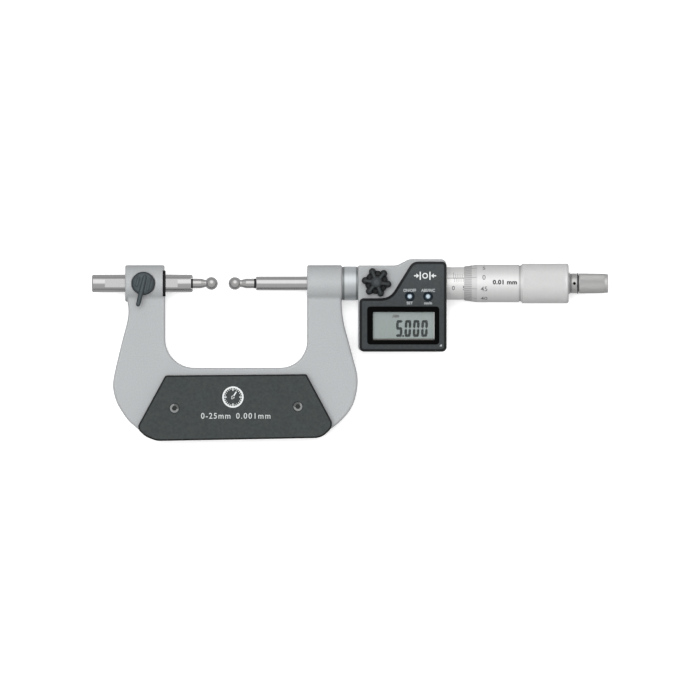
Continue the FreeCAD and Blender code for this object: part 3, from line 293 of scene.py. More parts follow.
PAINT = (0.325, 0.337, 0.345)
frame_paint = hammered_paint("frame_paint", PAINT)
head_paint = hammered_paint("head_paint", tint(PAINT, 0.94))
# Painted shade darkens the bevels of the cover plates and the case; the case is also lighter towards +Y as painted
# light.
plate_plastic = moulded("plate_plastic", (0.027, 0.033, 0.0335), rough=0.52, grain_size=0.3, depth=0.00003, edge=(0.22, 0.80, 0.96), cloudy=0.17)
case_plastic = moulded("case_plastic", (0.0235, 0.0285, 0.0310), rough=0.48, grain_size=0.28, depth=0.000025, edge=(0.27, 0.80, 0.96), painted_top_light=(-12.0, 6.0, 1.40), cloudy=0.14)
knob_black = moulded("knob_black", (0.020, 0.0225, 0.024), rough=0.36, grain_size=0.35, depth=0.00002)
lever_black = moulded("lever_black", (0.029, 0.038, 0.043), rough=0.34, grain_size=0.4, depth=0.000012)
bezel_black = moulded("bezel_black", (0.0012, 0.0012, 0.0013), rough=0.16, grain_size=0.8, depth=0.000001, spec=0.03)
inner_plastic = moulded("inner_plastic", (0.03, 0.03, 0.03), rough=0.5)
ground_steel = steel("ground_steel", (0.655, 0.65, 0.655), rough=0.15, lines=7000.0, depth=0.0000004, spread=0.015)
ball_steel = steel("ball_steel", (0.63, 0.625, 0.625), rough=0.15, lines=9000.0, depth=0.0000004, spread=0.015)
satin_chrome = steel("satin_chrome", (0.72, 0.72, 0.715), rough=0.40, lines=8000.0, depth=0.000002, metal=0.55, spread=0.03)
# Painted shade in bands: darker on the bevelled front rim, a little darker where the long ticks run, and darker in the
# groove next to the grip.
thimble_chrome = steel("thimble_chrome", (0.635, 0.635, 0.635), rough=0.48, lines=8000.0, depth=0.000002, metal=0.45, spread=0.03,
                       bands=[(112.0, 116.75, 0.74, 0.05), (116.75, 119.2, 0.88, 0.12), (138.86, 139.76, 0.75, 0.04)])
grip_chrome = steel("grip_chrome", (0.585, 0.585, 0.585), rough=0.42, lines=3000.0, depth=0.000002, along="none", metal=0.35)
# Painted shade: a darker band round the neck ring, between the grip and the ratchet, and a black pin hole.
ratchet_steel = steel("ratchet_steel", (0.56, 0.56, 0.555), rough=0.38, lines=8000.0, depth=0.000003, metal=0.85,
                      bands=[(162.86, 163.74, 0.70, 0.02)], hole=(164.9, 0.0, 0.00069))
neck_steel = steel("neck_steel", (0.34, 0.34, 0.34), rough=0.45, lines=6000.0, depth=0.000002, metal=0.6)
# Painted highlight: a lighter band near the outer end of the knurl.
knurl_steel = steel("knurl_steel", (0.53, 0.53, 0.525), rough=0.40, lines=4000.0, depth=0.000002, along="none", metal=0.8,
                    bands=[(179.05, 181.5, 1.15, 0.06)])
# Painted shade: darker bands at both ends of the collar, where it meets the frame and the head.
collar_satin = steel("collar_satin", (0.81, 0.85, 0.87), rough=0.44, lines=6000.0, depth=0.000003,
                     bands=[(54.0, 57.0, 0.52, 0.25), (62.4, 66.0, 0.52, 0.25)])
inner_steel = steel("inner_steel", (0.48, 0.48, 0.48), rough=0.35)
dark_screw = steel("dark_screw", (0.09, 0.09, 0.092), rough=0.38, along="none", lines=5000.0)
brass = steel("brass", (0.60, 0.44, 0.19), rough=0.3, along="z")
dark_brass = steel("dark_brass", (0.085, 0.078, 0.066), rough=0.42, along="z")
black_rubber = rubbery("black_rubber", (0.012, 0.012, 0.013))
board_green = moulded("board_green", (0.01, 0.09, 0.04), rough=0.4, grain_size=1.2, depth=0.00001)
white_print = print_ink("white_print", (0.62, 0.64, 0.64))
label_print = print_ink("label_print", (0.34, 0.36, 0.37))
line_print = print_ink("line_print", (0.47, 0.49, 0.49))
black_print = print_ink("black_print", (0.030, 0.030, 0.032))
grey_print = print_ink("grey_print", (0.065, 0.065, 0.068))
fine_print = print_ink("fine_print", (0.11, 0.11, 0.112))
soft_print = print_ink("soft_print", (0.15, 0.15, 0.15))
number_print = print_ink("number_print", (0.14, 0.14, 0.14))


SCREWS = ((-21.55, -57.35), (34.45, -56.75))


def screw_finish():
    """Turned head with a bright face; painted shade makes it dark in its socket and down its shank."""
    f = Finish("screw_steel", rough=0.30, metal=1.0)
    x, y, z = f.apart()
    deep = f.maths("ABSOLUTE", f.maths("SUBTRACT", z, 0.0095))
    fine = f.noise(5200.0, 2.0, 0.6)
    bright = f.ramp(fine, [(0.3, (0.31, 0.32, 0.325)), (0.7, (0.38, 0.39, 0.395))])
    near = None
    for sx, sy in SCREWS:
        c = P(sx, sy, 0)
        dx, dy = f.maths("SUBTRACT", x, c.x), f.maths("SUBTRACT", y, c.y)
        d = f.maths("SQRT", f.maths("ADD", f.maths("MULTIPLY", dx, dx), f.maths("MULTIPLY", dy, dy)))
        near = d if near is None else f.maths("MINIMUM", near, d)
    # painted shade: darker in the socket at the middle of each head, darkest down in the socket and along the shank
    face = f.mixed(f.ranged(near, 0.00148, 0.00168), (0.15, 0.155, 0.155), bright)
    f.link(f.mixed(f.ranged(deep, 0.00905, 0.00925), (0.05, 0.053, 0.053), face), "Base Color")
    f.link(f.ranged(fine, 0.3, 0.7, 0.24, 0.36), "Roughness")
    return f.mat


def lcd_finish():
    """Grey-green liquid crystal with a faint vertical texture, lighter along its right side as a painted reflection and
    darker along its lower side as a painted shadow.
    """
    f = Finish("lcd_glass", rough=0.35, spec=0.3)
    x, y, z = f.apart()
    cloth = f.noise(2600.0, 3.0, 0.6)
    patch = f.noise(110.0, 2.0, 0.5)
    col = f.ramp(cloth, [(0.3, (0.220, 0.252, 0.246)), (0.7, (0.247, 0.280, 0.273))])
    col = f.mixed(f.ranged(patch, 0.35, 0.7, 0.0, 0.45), col, (0.207, 0.251, 0.241))
    low, right = P(0, -25.85, 0).y, P(98.75, 0, 0).x
    # painted reflection along the right side, painted shadow along the lower side
    col = f.mixed(f.ranged(x, right - 0.0001, right + 0.0002), col, (0.38, 0.385, 0.378))
    col = f.mixed(f.ranged(y, low + 0.0001, low - 0.0001), col, (0.085, 0.078, 0.072))
    f.link(col, "Base Color")
    return f.mat


def window_finish():
    f = Finish("window_clear", rough=0.08, spec=0.5)
    smear = f.noise(140.0, 3.0, 0.6)
    f.link(f.ramp(smear, [(0.3, (0.20, 0.22, 0.22)), (0.7, (0.24, 0.26, 0.26))]), "Base Color")
    f.set("Alpha", 0.05)
    return f.mat


def button_finish(name, x):
    """Dark blue rim round a dome whose light blue middle is a painted highlight."""
    f = Finish(name, rough=0.30, spec=0.18)
    px, py, pz = f.apart()
    c = P(x, -6.1, 13.4)
    dx = f.maths("SUBTRACT", px, c.x)
    dy = f.maths("SUBTRACT", py, c.y)
    d = f.maths("SQRT", f.maths("ADD", f.maths("MULTIPLY", dx, dx), f.maths("MULTIPLY", dy, dy)))
    n = f.noise(2400.0, 2.0, 0.6)
    # painted highlight: light blue in the middle of the dome
    pale = f.ramp(n, [(0.3, (0.35, 0.42, 0.48)), (0.7, (0.41, 0.49, 0.55))])
    col = f.mixed(f.ranged(d, 0.00070, 0.00128), pale, (0.004, 0.009, 0.014))
    col = f.mixed(f.ranged(d, 0.00190, 0.00222), col, (0.008, 0.015, 0.021))
    f.link(col, "Base Color")
    f.link(f.ranged(n, 0.3, 0.7, 0.22, 0.34), "Roughness")
    return f.mat


screw_steel = screw_finish()
lcd_glass = lcd_finish()
window_clear = window_finish()

FINISH = {
    frame_paint: ["frame"],
    head_paint: ["head_housing"],
    plate_plastic: ["front_cover_plate", "rear_cover_plate"],
    screw_steel: ["cover_screws"],
    ground_steel: ["anvil", "spindle"],
    ball_steel: ["anvil_ball_tip", "spindle_ball_tip"],
    black_rubber: ["anvil_tip_ring", "spindle_tip_ring", "anvil_guide_ring", "spindle_seal", "case_gasket", "battery_seal"],
    brass: ["anvil_clamp_pad", "lock_pad", "battery_contact"],
    dark_brass: ["lock_bush"],
    dark_screw: ["anvil_clamp_stud", "case_screws", "ratchet_disc"],
    inner_steel: ["spindle_bushing", "encoder_rotor", "rotor_key", "battery", "lock_screw", "inner_sleeve", "adjusting_nut", "thimble_nut", "ratchet_spring", "ratchet_screw"],
    collar_satin: ["frame_collar"],
    case_plastic: ["display_case", "head_back_cover", "battery_cap"],
    bezel_black: ["display_bezel"],
    window_clear: ["display_window"],
    lcd_glass: ["lcd_panel"],
    inner_plastic: ["lcd_connector_strips", "tactile_switches", "battery_holder"],
    board_green: ["circuit_board", "encoder_stator"],
    button_finish("left_button_blue", 87.6): ["left_button"],
    button_finish("right_button_blue", 96.2): ["right_button"],
    satin_chrome: ["graduated_sleeve"],
    thimble_chrome: ["thimble"],
    grip_chrome: ["thimble_grip"],
    ratchet_steel: ["ratchet_body", "ratchet_cap"],
    knurl_steel: ["ratchet_knob"],
    knob_black: ["lock_knob"],
    lever_black: ["anvil_clamp_lever"],
}
done = set()
for mat, names in FINISH.items():
    for n in names:
        me = nodes[n].data
        if not me.materials:
            me.materials.append(mat)
        for i in range(len(me.materials)):
            me.materials[i] = mat
        done.add(n)
missing = sorted(set(nodes) - done)
if missing:
    raise RuntimeError("no finish for " + ", ".join(missing))

# ---- flat and wrapped marks --------------------------------------------------------------------


def prism(points):
    """A flat polygon as a thin closed solid: points in (u, v), third coordinate 0 below and 1 above."""
    n = len(points)
    verts = [(u, v, 0.0) for u, v in points] + [(u, v, 1.0) for u, v in points]
    faces = [list(range(n))[::-1], list(range(n, 2 * n))]
    faces += [[i, (i + 1) % n, n + (i + 1) % n, n + i] for i in range(n)]
    return verts, faces


def bar(u0, v0, u1, v1):
    return prism([(u0, v0), (u1, v0), (u1, v1), (u0, v1)])


def stroke(a, b, width):
    d = Vector((b[0] - a[0], b[1] - a[1])).normalized() * (width / 2)
    n = (-d.y, d.x)
    return prism([(a[0] + n[0], a[1] + n[1]), (a[0] - n[0], a[1] - n[1]), (b[0] - n[0], b[1] - n[1]), (b[0] + n[0], b[1] + n[1])])


def ring_solid(cu, cv, r_in, r_out, a0=0.0, a1=360.0, steps=48):
    """Part or all of a flat ring, as quads."""
    whole = abs(a1 - a0) > 359.9
    k = steps if whole else steps + 1
    verts, faces = [], []
    for i in range(k):
        a = math.radians(a0 + (a1 - a0) * i / steps)
        for r in (r_in, r_out):
            for w in (0.0, 1.0):
                verts.append((cu + r * math.cos(a), cv + r * math.sin(a), w))
    for i in range(steps):
        a, b = 4 * i, 4 * ((i + 1) % k)
        faces += [[a, a + 2, b + 2, b], [a + 1, b + 1, b + 3, a + 3], [a, b, b + 1, a + 1], [a + 2, a + 3, b + 3, b + 2]]
    if not whole:
        e = 4 * steps
        faces += [[0, 1, 3, 2], [e, e + 2, e + 3, e + 1]]
    return verts, faces


def disc(cu, cv, r, steps=32):
    return prism([(cu + r * math.cos(2 * math.pi * i / steps), cv + r * math.sin(2 * math.pi * i / steps)) for i in range(steps)])


def glyphs(text, height, cu=0.0, cv=0.0, width=None, spacing=1.0, weight=0.0, turn=0.0):
    """Lettering as thin closed solids, centred at (cu, cv), with capitals of that height."""
    out = []
    for body_text in (text, "0"):
        cu_data = bpy.data.curves.new("lettering", "FONT")
        cu_data.body = body_text
        cu_data.size = 1.0
        cu_data.extrude = 0.5
        cu_data.resolution_u = 3
        cu_data.space_character = spacing
        cu_data.offset = weight
        ob = bpy.data.objects.new("lettering", cu_data)
        scene.collection.objects.link(ob)
        deps = bpy.context.evaluated_depsgraph_get()
        deps.update()
        me = bpy.data.meshes.new_from_object(ob.evaluated_get(deps))
        bm = bmesh.new()
        bm.from_mesh(me)
        bmesh.ops.remove_doubles(bm, verts=bm.verts, dist=1e-5)
        bm.verts.ensure_lookup_table()
        out.append(([tuple(v.co) for v in bm.verts], [[v.index for v in f.verts] for f in bm.faces]))
        bm.free()
        bpy.data.meshes.remove(me)
        bpy.data.objects.remove(ob)
        bpy.data.curves.remove(cu_data)
    (verts, faces), (ref, _) = out
    tall = max(v[1] for v in ref) - min(v[1] for v in ref)
    mid_v = (max(v[1] for v in ref) + min(v[1] for v in ref)) / 2
    lo, hi = min(v[0] for v in verts), max(v[0] for v in verts)
    k = height / tall
    kx = k if width is None else width / (hi - lo)
    c, s = math.cos(math.radians(turn)), math.sin(math.radians(turn))
    moved = []
    for x, y, z in verts:
        u, v = (x - (lo + hi) / 2) * kx, (y - mid_v) * k
        moved.append((cu + u * c - v * s, cv + u * s + v * c, z + 0.5))
    return moved, faces


def gathered(solids):
    verts, faces = [], []
    for v, f in solids:
        k = len(verts)
        verts += v
        faces += [[k + i for i in face] for face in f]
    return verts, faces


def flat_marks(name, solids, z, mat, body, thick=0.03, sunk=0.03):
    verts, faces = gathered(solids)
    return add_mesh(name, [(u, v, z - sunk + (sunk + thick) * w) for u, v, w in verts], faces, mat, body)


def wrapped_marks(name, solids, radius, angle, mat, body, step=0.3, cuts_u=(), thick=0.028, sunk=0.05):
    """Marks laid round the barrel: u along X, v round it from angle (degrees from +Z towards +Y); radius is a function of X."""
    verts, faces = gathered(solids)
    bm = bmesh.new()
    made = [bm.verts.new(v) for v in verts]
    for f in faces:
        try:
            bm.faces.new([made[i] for i in f])
        except ValueError:
            pass
    lo, hi = min(v[1] for v in verts), max(v[1] for v in verts)
    n = int((hi - lo) / step)
    for i in range(1, n + 1):
        at = lo + (hi - lo) * i / (n + 1)
        bmesh.ops.bisect_plane(bm, geom=bm.verts[:] + bm.edges[:] + bm.faces[:], plane_co=(0, at, 0), plane_no=(0, 1, 0), dist=1e-6)
    for u in cuts_u:
        bmesh.ops.bisect_plane(bm, geom=bm.verts[:] + bm.edges[:] + bm.faces[:], plane_co=(u, 0, 0), plane_no=(1, 0, 0), dist=1e-6)
    bm.verts.ensure_lookup_table()
    bm.verts.index_update()
    out = []
    for v in bm.verts:
        u, s, w = v.co
        r0 = radius(u)
        a = math.radians(angle) + s / r0
        r = r0 - sunk + (sunk + thick) * w
        out.append((u, r * math.sin(a), r * math.cos(a)))
    faces = [[v.index for v in f.verts] for f in bm.faces]
    bm.free()
    return add_mesh(name, out, faces, mat, body)


# ---- sleeve and thimble graduations ---------------------------------------------------------------

DATUM = 19.0
SLEEVE_R = 7.65
ZERO_X = 108.2


def sleeve_r(u):
    return SLEEVE_R


wrapped_marks("sleeve_datum", [bar(105.0, -0.13, 133.9, 0.13)], sleeve_r, DATUM, grey_print, "frame")
marks = []
for i in range(26):
    x = ZERO_X + i
    marks.append(bar(x - 0.075, 0.14, x + 0.075, 3.0 if i % 5 == 0 else 2.2))
for i in range(25):
    x = ZERO_X + i + 0.5
    marks.append(bar(x - 0.075, -1.9, x + 0.075, -0.14))
wrapped_marks("sleeve_graduations", marks, sleeve_r, DATUM, fine_print, "frame")
numbers = [glyphs(str(5 * i), 2.05, ZERO_X + 5 * i - 0.1, -4.75, weight=0.006) for i in range(6)]
wrapped_marks("sleeve_numbers", numbers, sleeve_r, DATUM, grey_print, "frame")

TF0 = 113.15


def thimble_r(u):
    if u < TF0 + 3.6:
        return 7.95 + (8.48 - 7.95) * (u - TF0) / 3.6
    if u < TF0 + 6.1:
        return 8.48 + (8.8 - 8.48) * (u - TF0 - 3.6) / 2.5
    return 8.8


def thimble_solids():
    ticks, figures = [], []
    for i in range(50):
        a = DATUM + i * 7.2
        long = i % 5 == 0
        v0 = -0.075 if long else -0.065
        ticks.append((a, bar(TF0 + 0.12, v0, TF0 + (6.0 if long else 3.5), -v0)))
        if long:
            figures.append((a, glyphs(str(i), 2.35, TF0 + 9.3, 0.0, weight=0.008)))
    return ticks, figures


def wrapped_many(name, placed, mat, body, cuts_u=()):
    """Marks that each have an angle of their own: their v is moved round by that angle at the full radius."""
    verts_all, faces_all = [], []
    for a, solid in placed:
        v, f = solid
        bm = bmesh.new()
        made = [bm.verts.new(p) for p in v]
        for face in f:
            try:
                bm.faces.new([made[i] for i in face])
            except ValueError:
                pass
        lo, hi = min(p[1] for p in v), max(p[1] for p in v)
        n = int((hi - lo) / 0.35)
        for i in range(1, n + 1):
            at = lo + (hi - lo) * i / (n + 1)
            bmesh.ops.bisect_plane(bm, geom=bm.verts[:] + bm.edges[:] + bm.faces[:], plane_co=(0, at, 0), plane_no=(0, 1, 0), dist=1e-6)
        for u in cuts_u:
            bmesh.ops.bisect_plane(bm, geom=bm.verts[:] + bm.edges[:] + bm.faces[:], plane_co=(u, 0, 0), plane_no=(1, 0, 0), dist=1e-6)
        bm.verts.ensure_lookup_table()
        bm.verts.index_update()
        k = len(verts_all)
        for q in bm.verts:
            u, s, w = q.co
            r0 = thimble_r(u)
            ang = math.radians(a) + s / r0
            r = r0 - 0.05 + 0.078 * w
            verts_all.append((u, r * math.sin(ang), r * math.cos(ang)))
        faces_all += [[k + q.index for q in face.verts] for face in bm.faces]
        bm.free()
    return add_mesh(name, verts_all, faces_all, mat, body)


ticks, figures = thimble_solids()
wrapped_many("thimble_graduations", ticks, soft_print, "spindle", cuts_u=(TF0 + 3.6,))
wrapped_many("thimble_numbers", figures, number_print, "spindle")
wrapped_many("thimble_lettering", [(4.0, glyphs("0.01 mm", 2.25, 132.25, 0.0, width=11.4, spacing=1.08, weight=0.045))], black_print, "spindle")

# ---- cover plate lettering ---------------------------------------------------------------------

PLATE_Z = 9.5
flat_marks("range_lettering", [glyphs("0-25mm", 2.75, -3.5, -62.15, width=13.8, spacing=1.2, weight=0.008), glyphs("0.001mm", 2.75, 14.15, -62.15, width=16.1, spacing=1.25, weight=0.008)], PLATE_Z, line_print, "frame")
DX, DY = 4.6, -53.35
dial = [ring_solid(DX, DY, 4.25, 5.0, steps=72), ring_solid(DX, DY, 0.0001, 0.72, steps=24)]
for i in range(24):
    a = math.radians(15.0 * i)
    r0 = 3.0 if i % 6 == 0 else 3.5
    dial.append(stroke((DX + r0 * math.cos(a), DY + r0 * math.sin(a)), (DX + 4.3 * math.cos(a), DY + 4.3 * math.sin(a)), 0.5 if i % 6 == 0 else 0.3))
a = math.radians(58.0)
dial.append(stroke((DX - 1.1 * math.cos(a), DY - 1.1 * math.sin(a)), (DX + 3.0 * math.cos(a), DY + 3.0 * math.sin(a)), 0.6))
flat_marks("dial_emblem", dial, PLATE_Z, white_print, "frame")

# ---- display ------------------------------------------------------------------------------------

LCD_Z = 11.25
SEGMENTS = {"0": "abcdef", "5": "acdfg", "8": "abcdefg"}


def digit(which, left, low, wide=3.12, tall=7.9, thick=1.25, lean=0.04, gap=0.05, mitred=False):
    """One seven-segment figure; each segment is a bar with bevelled ends."""
    t = thick
    mid = low + tall / 2

    def horizontal(v, inset=0.0):
        a, b = left + gap + inset, left + wide - gap - inset
        return [(a, v), (a + t / 2, v + t / 2), (b - t / 2, v + t / 2), (b, v), (b - t / 2, v - t / 2), (a + t / 2, v - t / 2)]

    def upright(u, v0, v1):
        return [(u, v0 + gap), (u + t / 2, v0 + gap + t / 2), (u + t / 2, v1 - gap - t / 2), (u, v1 - gap), (u - t / 2, v1 - gap - t / 2), (u - t / 2, v0 + gap + t / 2)]

    l, r = left + t / 2, left + wide - t / 2
    q = t / 2 if mitred else 0.0
    lo, hi = low + t / 2, low + tall - t / 2
    shapes = {
        "a": horizontal(hi, q), "g": horizontal(mid, q), "d": horizontal(lo, q),
        "f": upright(l, mid, hi), "b": upright(r, mid, hi), "e": upright(l, lo, mid), "c": upright(r, lo, mid),
    }
    out = []
    for s in SEGMENTS[which]:
        out.append(prism([(u + (v - low) * lean, v) for u, v in shapes[s]]))
    return out


LOW = -25.1
figures = digit("5", 80.95, LOW) + digit("0", 85.0, LOW) + digit("0", 88.9, LOW) + digit("0", 92.8, LOW)
figures.append(bar(84.08, LOW, 84.88, LOW + 0.85))
lcd_dark = print_ink("lcd_dark", (0.012, 0.018, 0.017), rough=0.4)
lcd_ghost = print_ink("lcd_ghost", (0.235, 0.272, 0.256), rough=0.4)
lcd_faint = print_ink("lcd_faint", (0.135, 0.140, 0.138), rough=0.4)
flat_marks("display_figures", figures, LCD_Z, lcd_dark, "frame", thick=0.02)
ghost = digit("8", 77.05, LOW, thick=1.05, mitred=True) + digit("8", 73.15, LOW, thick=1.05, mitred=True)
flat_marks("display_faint_figures", ghost, LCD_Z, lcd_ghost, "frame", thick=0.012)
unit = glyphs("ABS", 1.35, 80.95, -15.35, width=3.5, weight=0.12)
flat_marks("display_unit", [unit], LCD_Z, lcd_faint, "frame", thick=0.02)

# ---- case lettering ------------------------------------------------------------------------------

CASE_Z = 13.0
labels = [
    glyphs("ON/OFF", 1.5, 87.6, -3.25, width=6.0, weight=0.03),
    glyphs("SET", 1.35, 87.6, -9.2, width=2.9, weight=0.03),
    glyphs("ABS/INC", 1.5, 96.2, -3.25, width=6.5, weight=0.03),
    glyphs("mm/in", 1.35, 96.2, -9.2, width=3.7, weight=0.03),
]
flat_marks("button_lettering", labels, CASE_Z, label_print, "frame", thick=0.02)
cx, cy = 94.8, 3.6
icon = [
    ring_solid(cx, cy, 0.85, 1.35, steps=28),
    bar(cx - 2.55, cy - 1.9, cx - 2.0, cy + 1.9),
    bar(cx + 2.0, cy - 1.9, cx + 2.55, cy + 1.9),
    stroke((cx - 5.2, cy), (cx - 3.9, cy), 0.55),
    prism([(cx - 4.1, cy - 1.1), (cx - 2.8, cy), (cx - 4.1, cy + 1.1)]),
    stroke((cx + 5.2, cy), (cx + 3.9, cy), 0.55),
    prism([(cx + 4.1, cy + 1.1), (cx + 2.8, cy), (cx + 4.1, cy - 1.1)]),
]
flat_marks("gap_icon", icon, CASE_Z, white_print, "frame", thick=0.02)
# A small light triangle at the lower right corner of the case, in the label ink.
flat_marks("corner_triangle", [prism([(101.5, -29.55), (102.7, -29.55), (102.7, -28.65), (102.2, -28.65)])], CASE_Z, label_print, "frame", thick=0.02)

# ---- knurled pieces ----------------------------------------------------------------------------


def revolved(rings, n, radius_at=None):
    """A closed loop of (x, r) rings turned about the spindle's axis, n points round."""
    verts, faces = [], []
    for i, (x, r) in enumerate(rings):
        for j in range(n):
            a = 2 * math.pi * j / n
            q = r if radius_at is None else radius_at(i, j, x, r)
            verts.append((x, q * math.sin(a), q * math.cos(a)))
    m = len(rings)
    for i in range(m):
        k = (i + 1) % m
        for j in range(n):
            l = (j + 1) % n
            faces.append([i * n + j, i * n + l, k * n + l, k * n + j])
    return verts, faces


def knurled_grip():
    GS, GE, rgr, q = 140.2, 162.2, 9.325, 1.05
    n, depth = 220, 0.085
    x0, x1 = 141.0, 160.6
    rows = int((x1 - x0) / (2 * math.pi * rgr / n))
    rings = [(GS + 0.02, rgr - 0.92), (GS + 0.02, rgr - 0.30), (GS + 0.08, rgr - 0.14), (GS + 0.22, rgr - 0.03), (GS + 0.40, rgr), (x0 - 0.12, rgr)]
    first = len(rings)
    for i in range(rows + 1):
        rings.append((x0 + (x1 - x0) * i / rows, rgr))
    last = len(rings) - 1
    for i in range(0, 13):
        a = math.radians(7.5 * i)
        rings.append((GE - q + q * math.sin(a), rgr - q + q * math.cos(a)))
    rings += [(GE, 5.1), (GE - 1.0, 5.1), (GE - 1.0, rgr - 0.92)]

    def radius_at(i, j, x, r):
        if first <= i <= last:
            return r - (depth if (i + j) % 2 else 0.0)
        return r

    verts, faces = revolved(rings, n, radius_at)
    out = []
    for f in faces:
        i = f[0] // n
        if first <= i < last:
            j = f[0] % n
            if (i + j) % 2:
                out += [[f[0], f[1], f[2]], [f[0], f[2], f[3]]]
            else:
                out += [[f[0], f[1], f[3]], [f[1], f[2], f[3]]]
        else:
            out.append(f)
    ob = add_mesh("knurled_thimble_grip", verts, out, grip_chrome, "spindle", ["thimble_grip"])
    for p in ob.data.polygons:
        i = min(p.vertices) // n
        p.use_smooth = i > last or i < first - 1
    return ob


def knurled_knob():
    xs, xe, rk = 166.9, 180.7, 4.7
    teeth, per = 60, 6
    n = teeth * per
    depth = 0.11
    rings = [(xs, 3.95), (xs, rk - 0.30), (xs + 0.06, rk - 0.16), (xs + 0.20, rk - 0.08)]
    k0 = len(rings)
    knurl = [(xs + 0.45, rk), (xs + 0.6, rk), (xs + 4.0, rk - 0.035), (xs + 8.0, rk - 0.09), (xe - 1.85, rk - 0.145), (xe - 1.7, rk - 0.15)]
    rings += knurl
    k1 = len(rings)
    rings += [(xe - 1.62, rk - 0.24), (xe - 1.50, rk - 0.28), (xe - 0.40, rk - 0.28), (xe - 0.22, rk - 0.34), (xe - 0.08, rk - 0.46), (xe, rk - 0.62), (xe, 3.1), (177.4, 3.1), (177.4, 2.06), (170.3, 2.06), (170.3, 3.95)]
    cut = {k0: 0.35, k1 - 1: 0.35}

    def radius_at(i, j, x, r):
        if k0 <= i < k1:
            t = (j % per) / per
            tri = abs(2 * t - 1)
            shape = max(0.0, min(1.0, (tri - 0.12) / 0.76))
            return r - depth * cut.get(i, 1.0) * (1 - shape)
        return r

    verts, faces = revolved(rings, n, radius_at)
    ob = add_mesh("knurled_ratchet_knob", verts, faces, knurl_steel, "ratchet", ["ratchet_knob"])
    for p in ob.data.polygons:
        i = min(p.vertices) // n
        p.use_smooth = i >= k1
    return ob


knurled_grip()
knurled_knob()
neck = [(162.90, 3.85), (162.90, 4.40), (163.02, 4.54), (163.20, 4.58), (163.42, 4.58), (163.60, 4.54), (163.71, 4.40), (163.71, 3.85)]
verts, faces = revolved(neck, 96)
add_mesh("ratchet_neck_ring", verts, faces, neck_steel, "spindle", smooth=True)

# ---- lock knob and clamp lever: moulded bodies, blended from simple volumes ---------------------


def lathe(points, n, centre, axis="z"):
    """A closed solid turned about a line along Z: points are (r, z), the first and last on the axis."""
    verts, faces = [], []
    rows = []
    for r, z in points:
        if r < 1e-6:
            verts.append((centre[0], centre[1], z))
            rows.append([len(verts) - 1])
        else:
            start = len(verts)
            for j in range(n):
                a = 2 * math.pi * j / n
                verts.append((centre[0] + r * math.cos(a), centre[1] + r * math.sin(a), z))
            rows.append(list(range(start, start + n)))
    for a, b in zip(rows, rows[1:]):
        for j in range(n):
            k = (j + 1) % n
            if len(a) == 1:
                faces.append([a[0], b[j], b[k]])
            elif len(b) == 1:
                faces.append([a[j], b[0], a[k]])
            else:
                faces.append([a[j], b[j], b[k], a[k]])
    return verts, faces


def capsule(a, b, ra, rb, steps=20, flat=1.0):
    """A tapered bar with round ends from a to b; flat scales its cross-section sideways."""
    a, b = Vector(a), Vector(b)
    d = (b - a)
    length = d.length
    d.normalize()
    side = d.cross(Vector((0, 0, 1)))
    if side.length < 1e-6:
        side = Vector((1, 0, 0))
    side.normalize()
    up = side.cross(d).normalized()
    rows, verts, faces = [], [], []
    prof = []
    half = steps // 4
    for i in range(half + 1):
        t = math.pi / 2 * i / half
        prof.append((-ra * math.cos(t), ra * math.sin(t)))
    for i in range(half + 1):
        t = math.pi / 2 * i / half
        prof.append((length + rb * math.sin(t), rb * math.cos(t)))
    for s, r in prof:
        c = a + d * s
        if r < 1e-6:
            verts.append(tuple(c))
            rows.append([len(verts) - 1])
        else:
            start = len(verts)
            for j in range(steps):
                q = 2 * math.pi * j / steps
                verts.append(tuple(c + side * (r * flat * math.cos(q)) + up * (r * math.sin(q))))
            rows.append(list(range(start, start + steps)))
    for p, q in zip(rows, rows[1:]):
        for j in range(steps):
            k = (j + 1) % steps
            if len(p) == 1:
                faces.append([p[0], q[j], q[k]])
            elif len(q) == 1:
                faces.append([p[j], q[0], p[k]])
            else:
                faces.append([p[j], q[j], q[k], p[k]])
    return verts, faces


def blended(name, solids, voxel, rounds, factor, mat, body, stands_for, flat_below=None, flat_above=None, bores=()):
    """The volumes merged on a fine grid and relaxed, so that they run into each other as in a moulding."""
    verts, faces = gathered(solids)
    me = bpy.data.meshes.new(name + "_raw")
    me.from_pydata([tuple(c * 0.1 for c in v) for v in verts], [], faces)
    bm = bmesh.new()
    bm.from_mesh(me)
    bmesh.ops.recalc_face_normals(bm, faces=bm.faces)
    bm.to_mesh(me)
    bm.free()
    ob = bpy.data.objects.new(name + "_raw", me)
    scene.collection.objects.link(ob)
    mod = ob.modifiers.new("grid", "REMESH")
    mod.mode = "VOXEL"
    mod.voxel_size = voxel * 0.1
    mod.adaptivity = 0.0
    sm = ob.modifiers.new("relax", "SMOOTH")
    sm.factor = factor
    sm.iterations = rounds
    deps = bpy.context.evaluated_depsgraph_get()
    deps.update()
    out = bpy.data.meshes.new_from_object(ob.evaluated_get(deps))
    pts = [tuple(c * 10.0 for c in v.co) for v in out.vertices]
    fs = [list(p.vertices) for p in out.polygons]
    bpy.data.meshes.remove(out)
    bpy.data.objects.remove(ob)
    bpy.data.meshes.remove(me)
    if flat_below is not None:
        pts = [(x, y, max(z, flat_below)) for x, y, z in pts]
    if flat_above is not None:
        pts = [(x, y, min(z, flat_above)) for x, y, z in pts]
    return add_mesh(name, pts, fs, mat, body, stands_for, smooth=True)


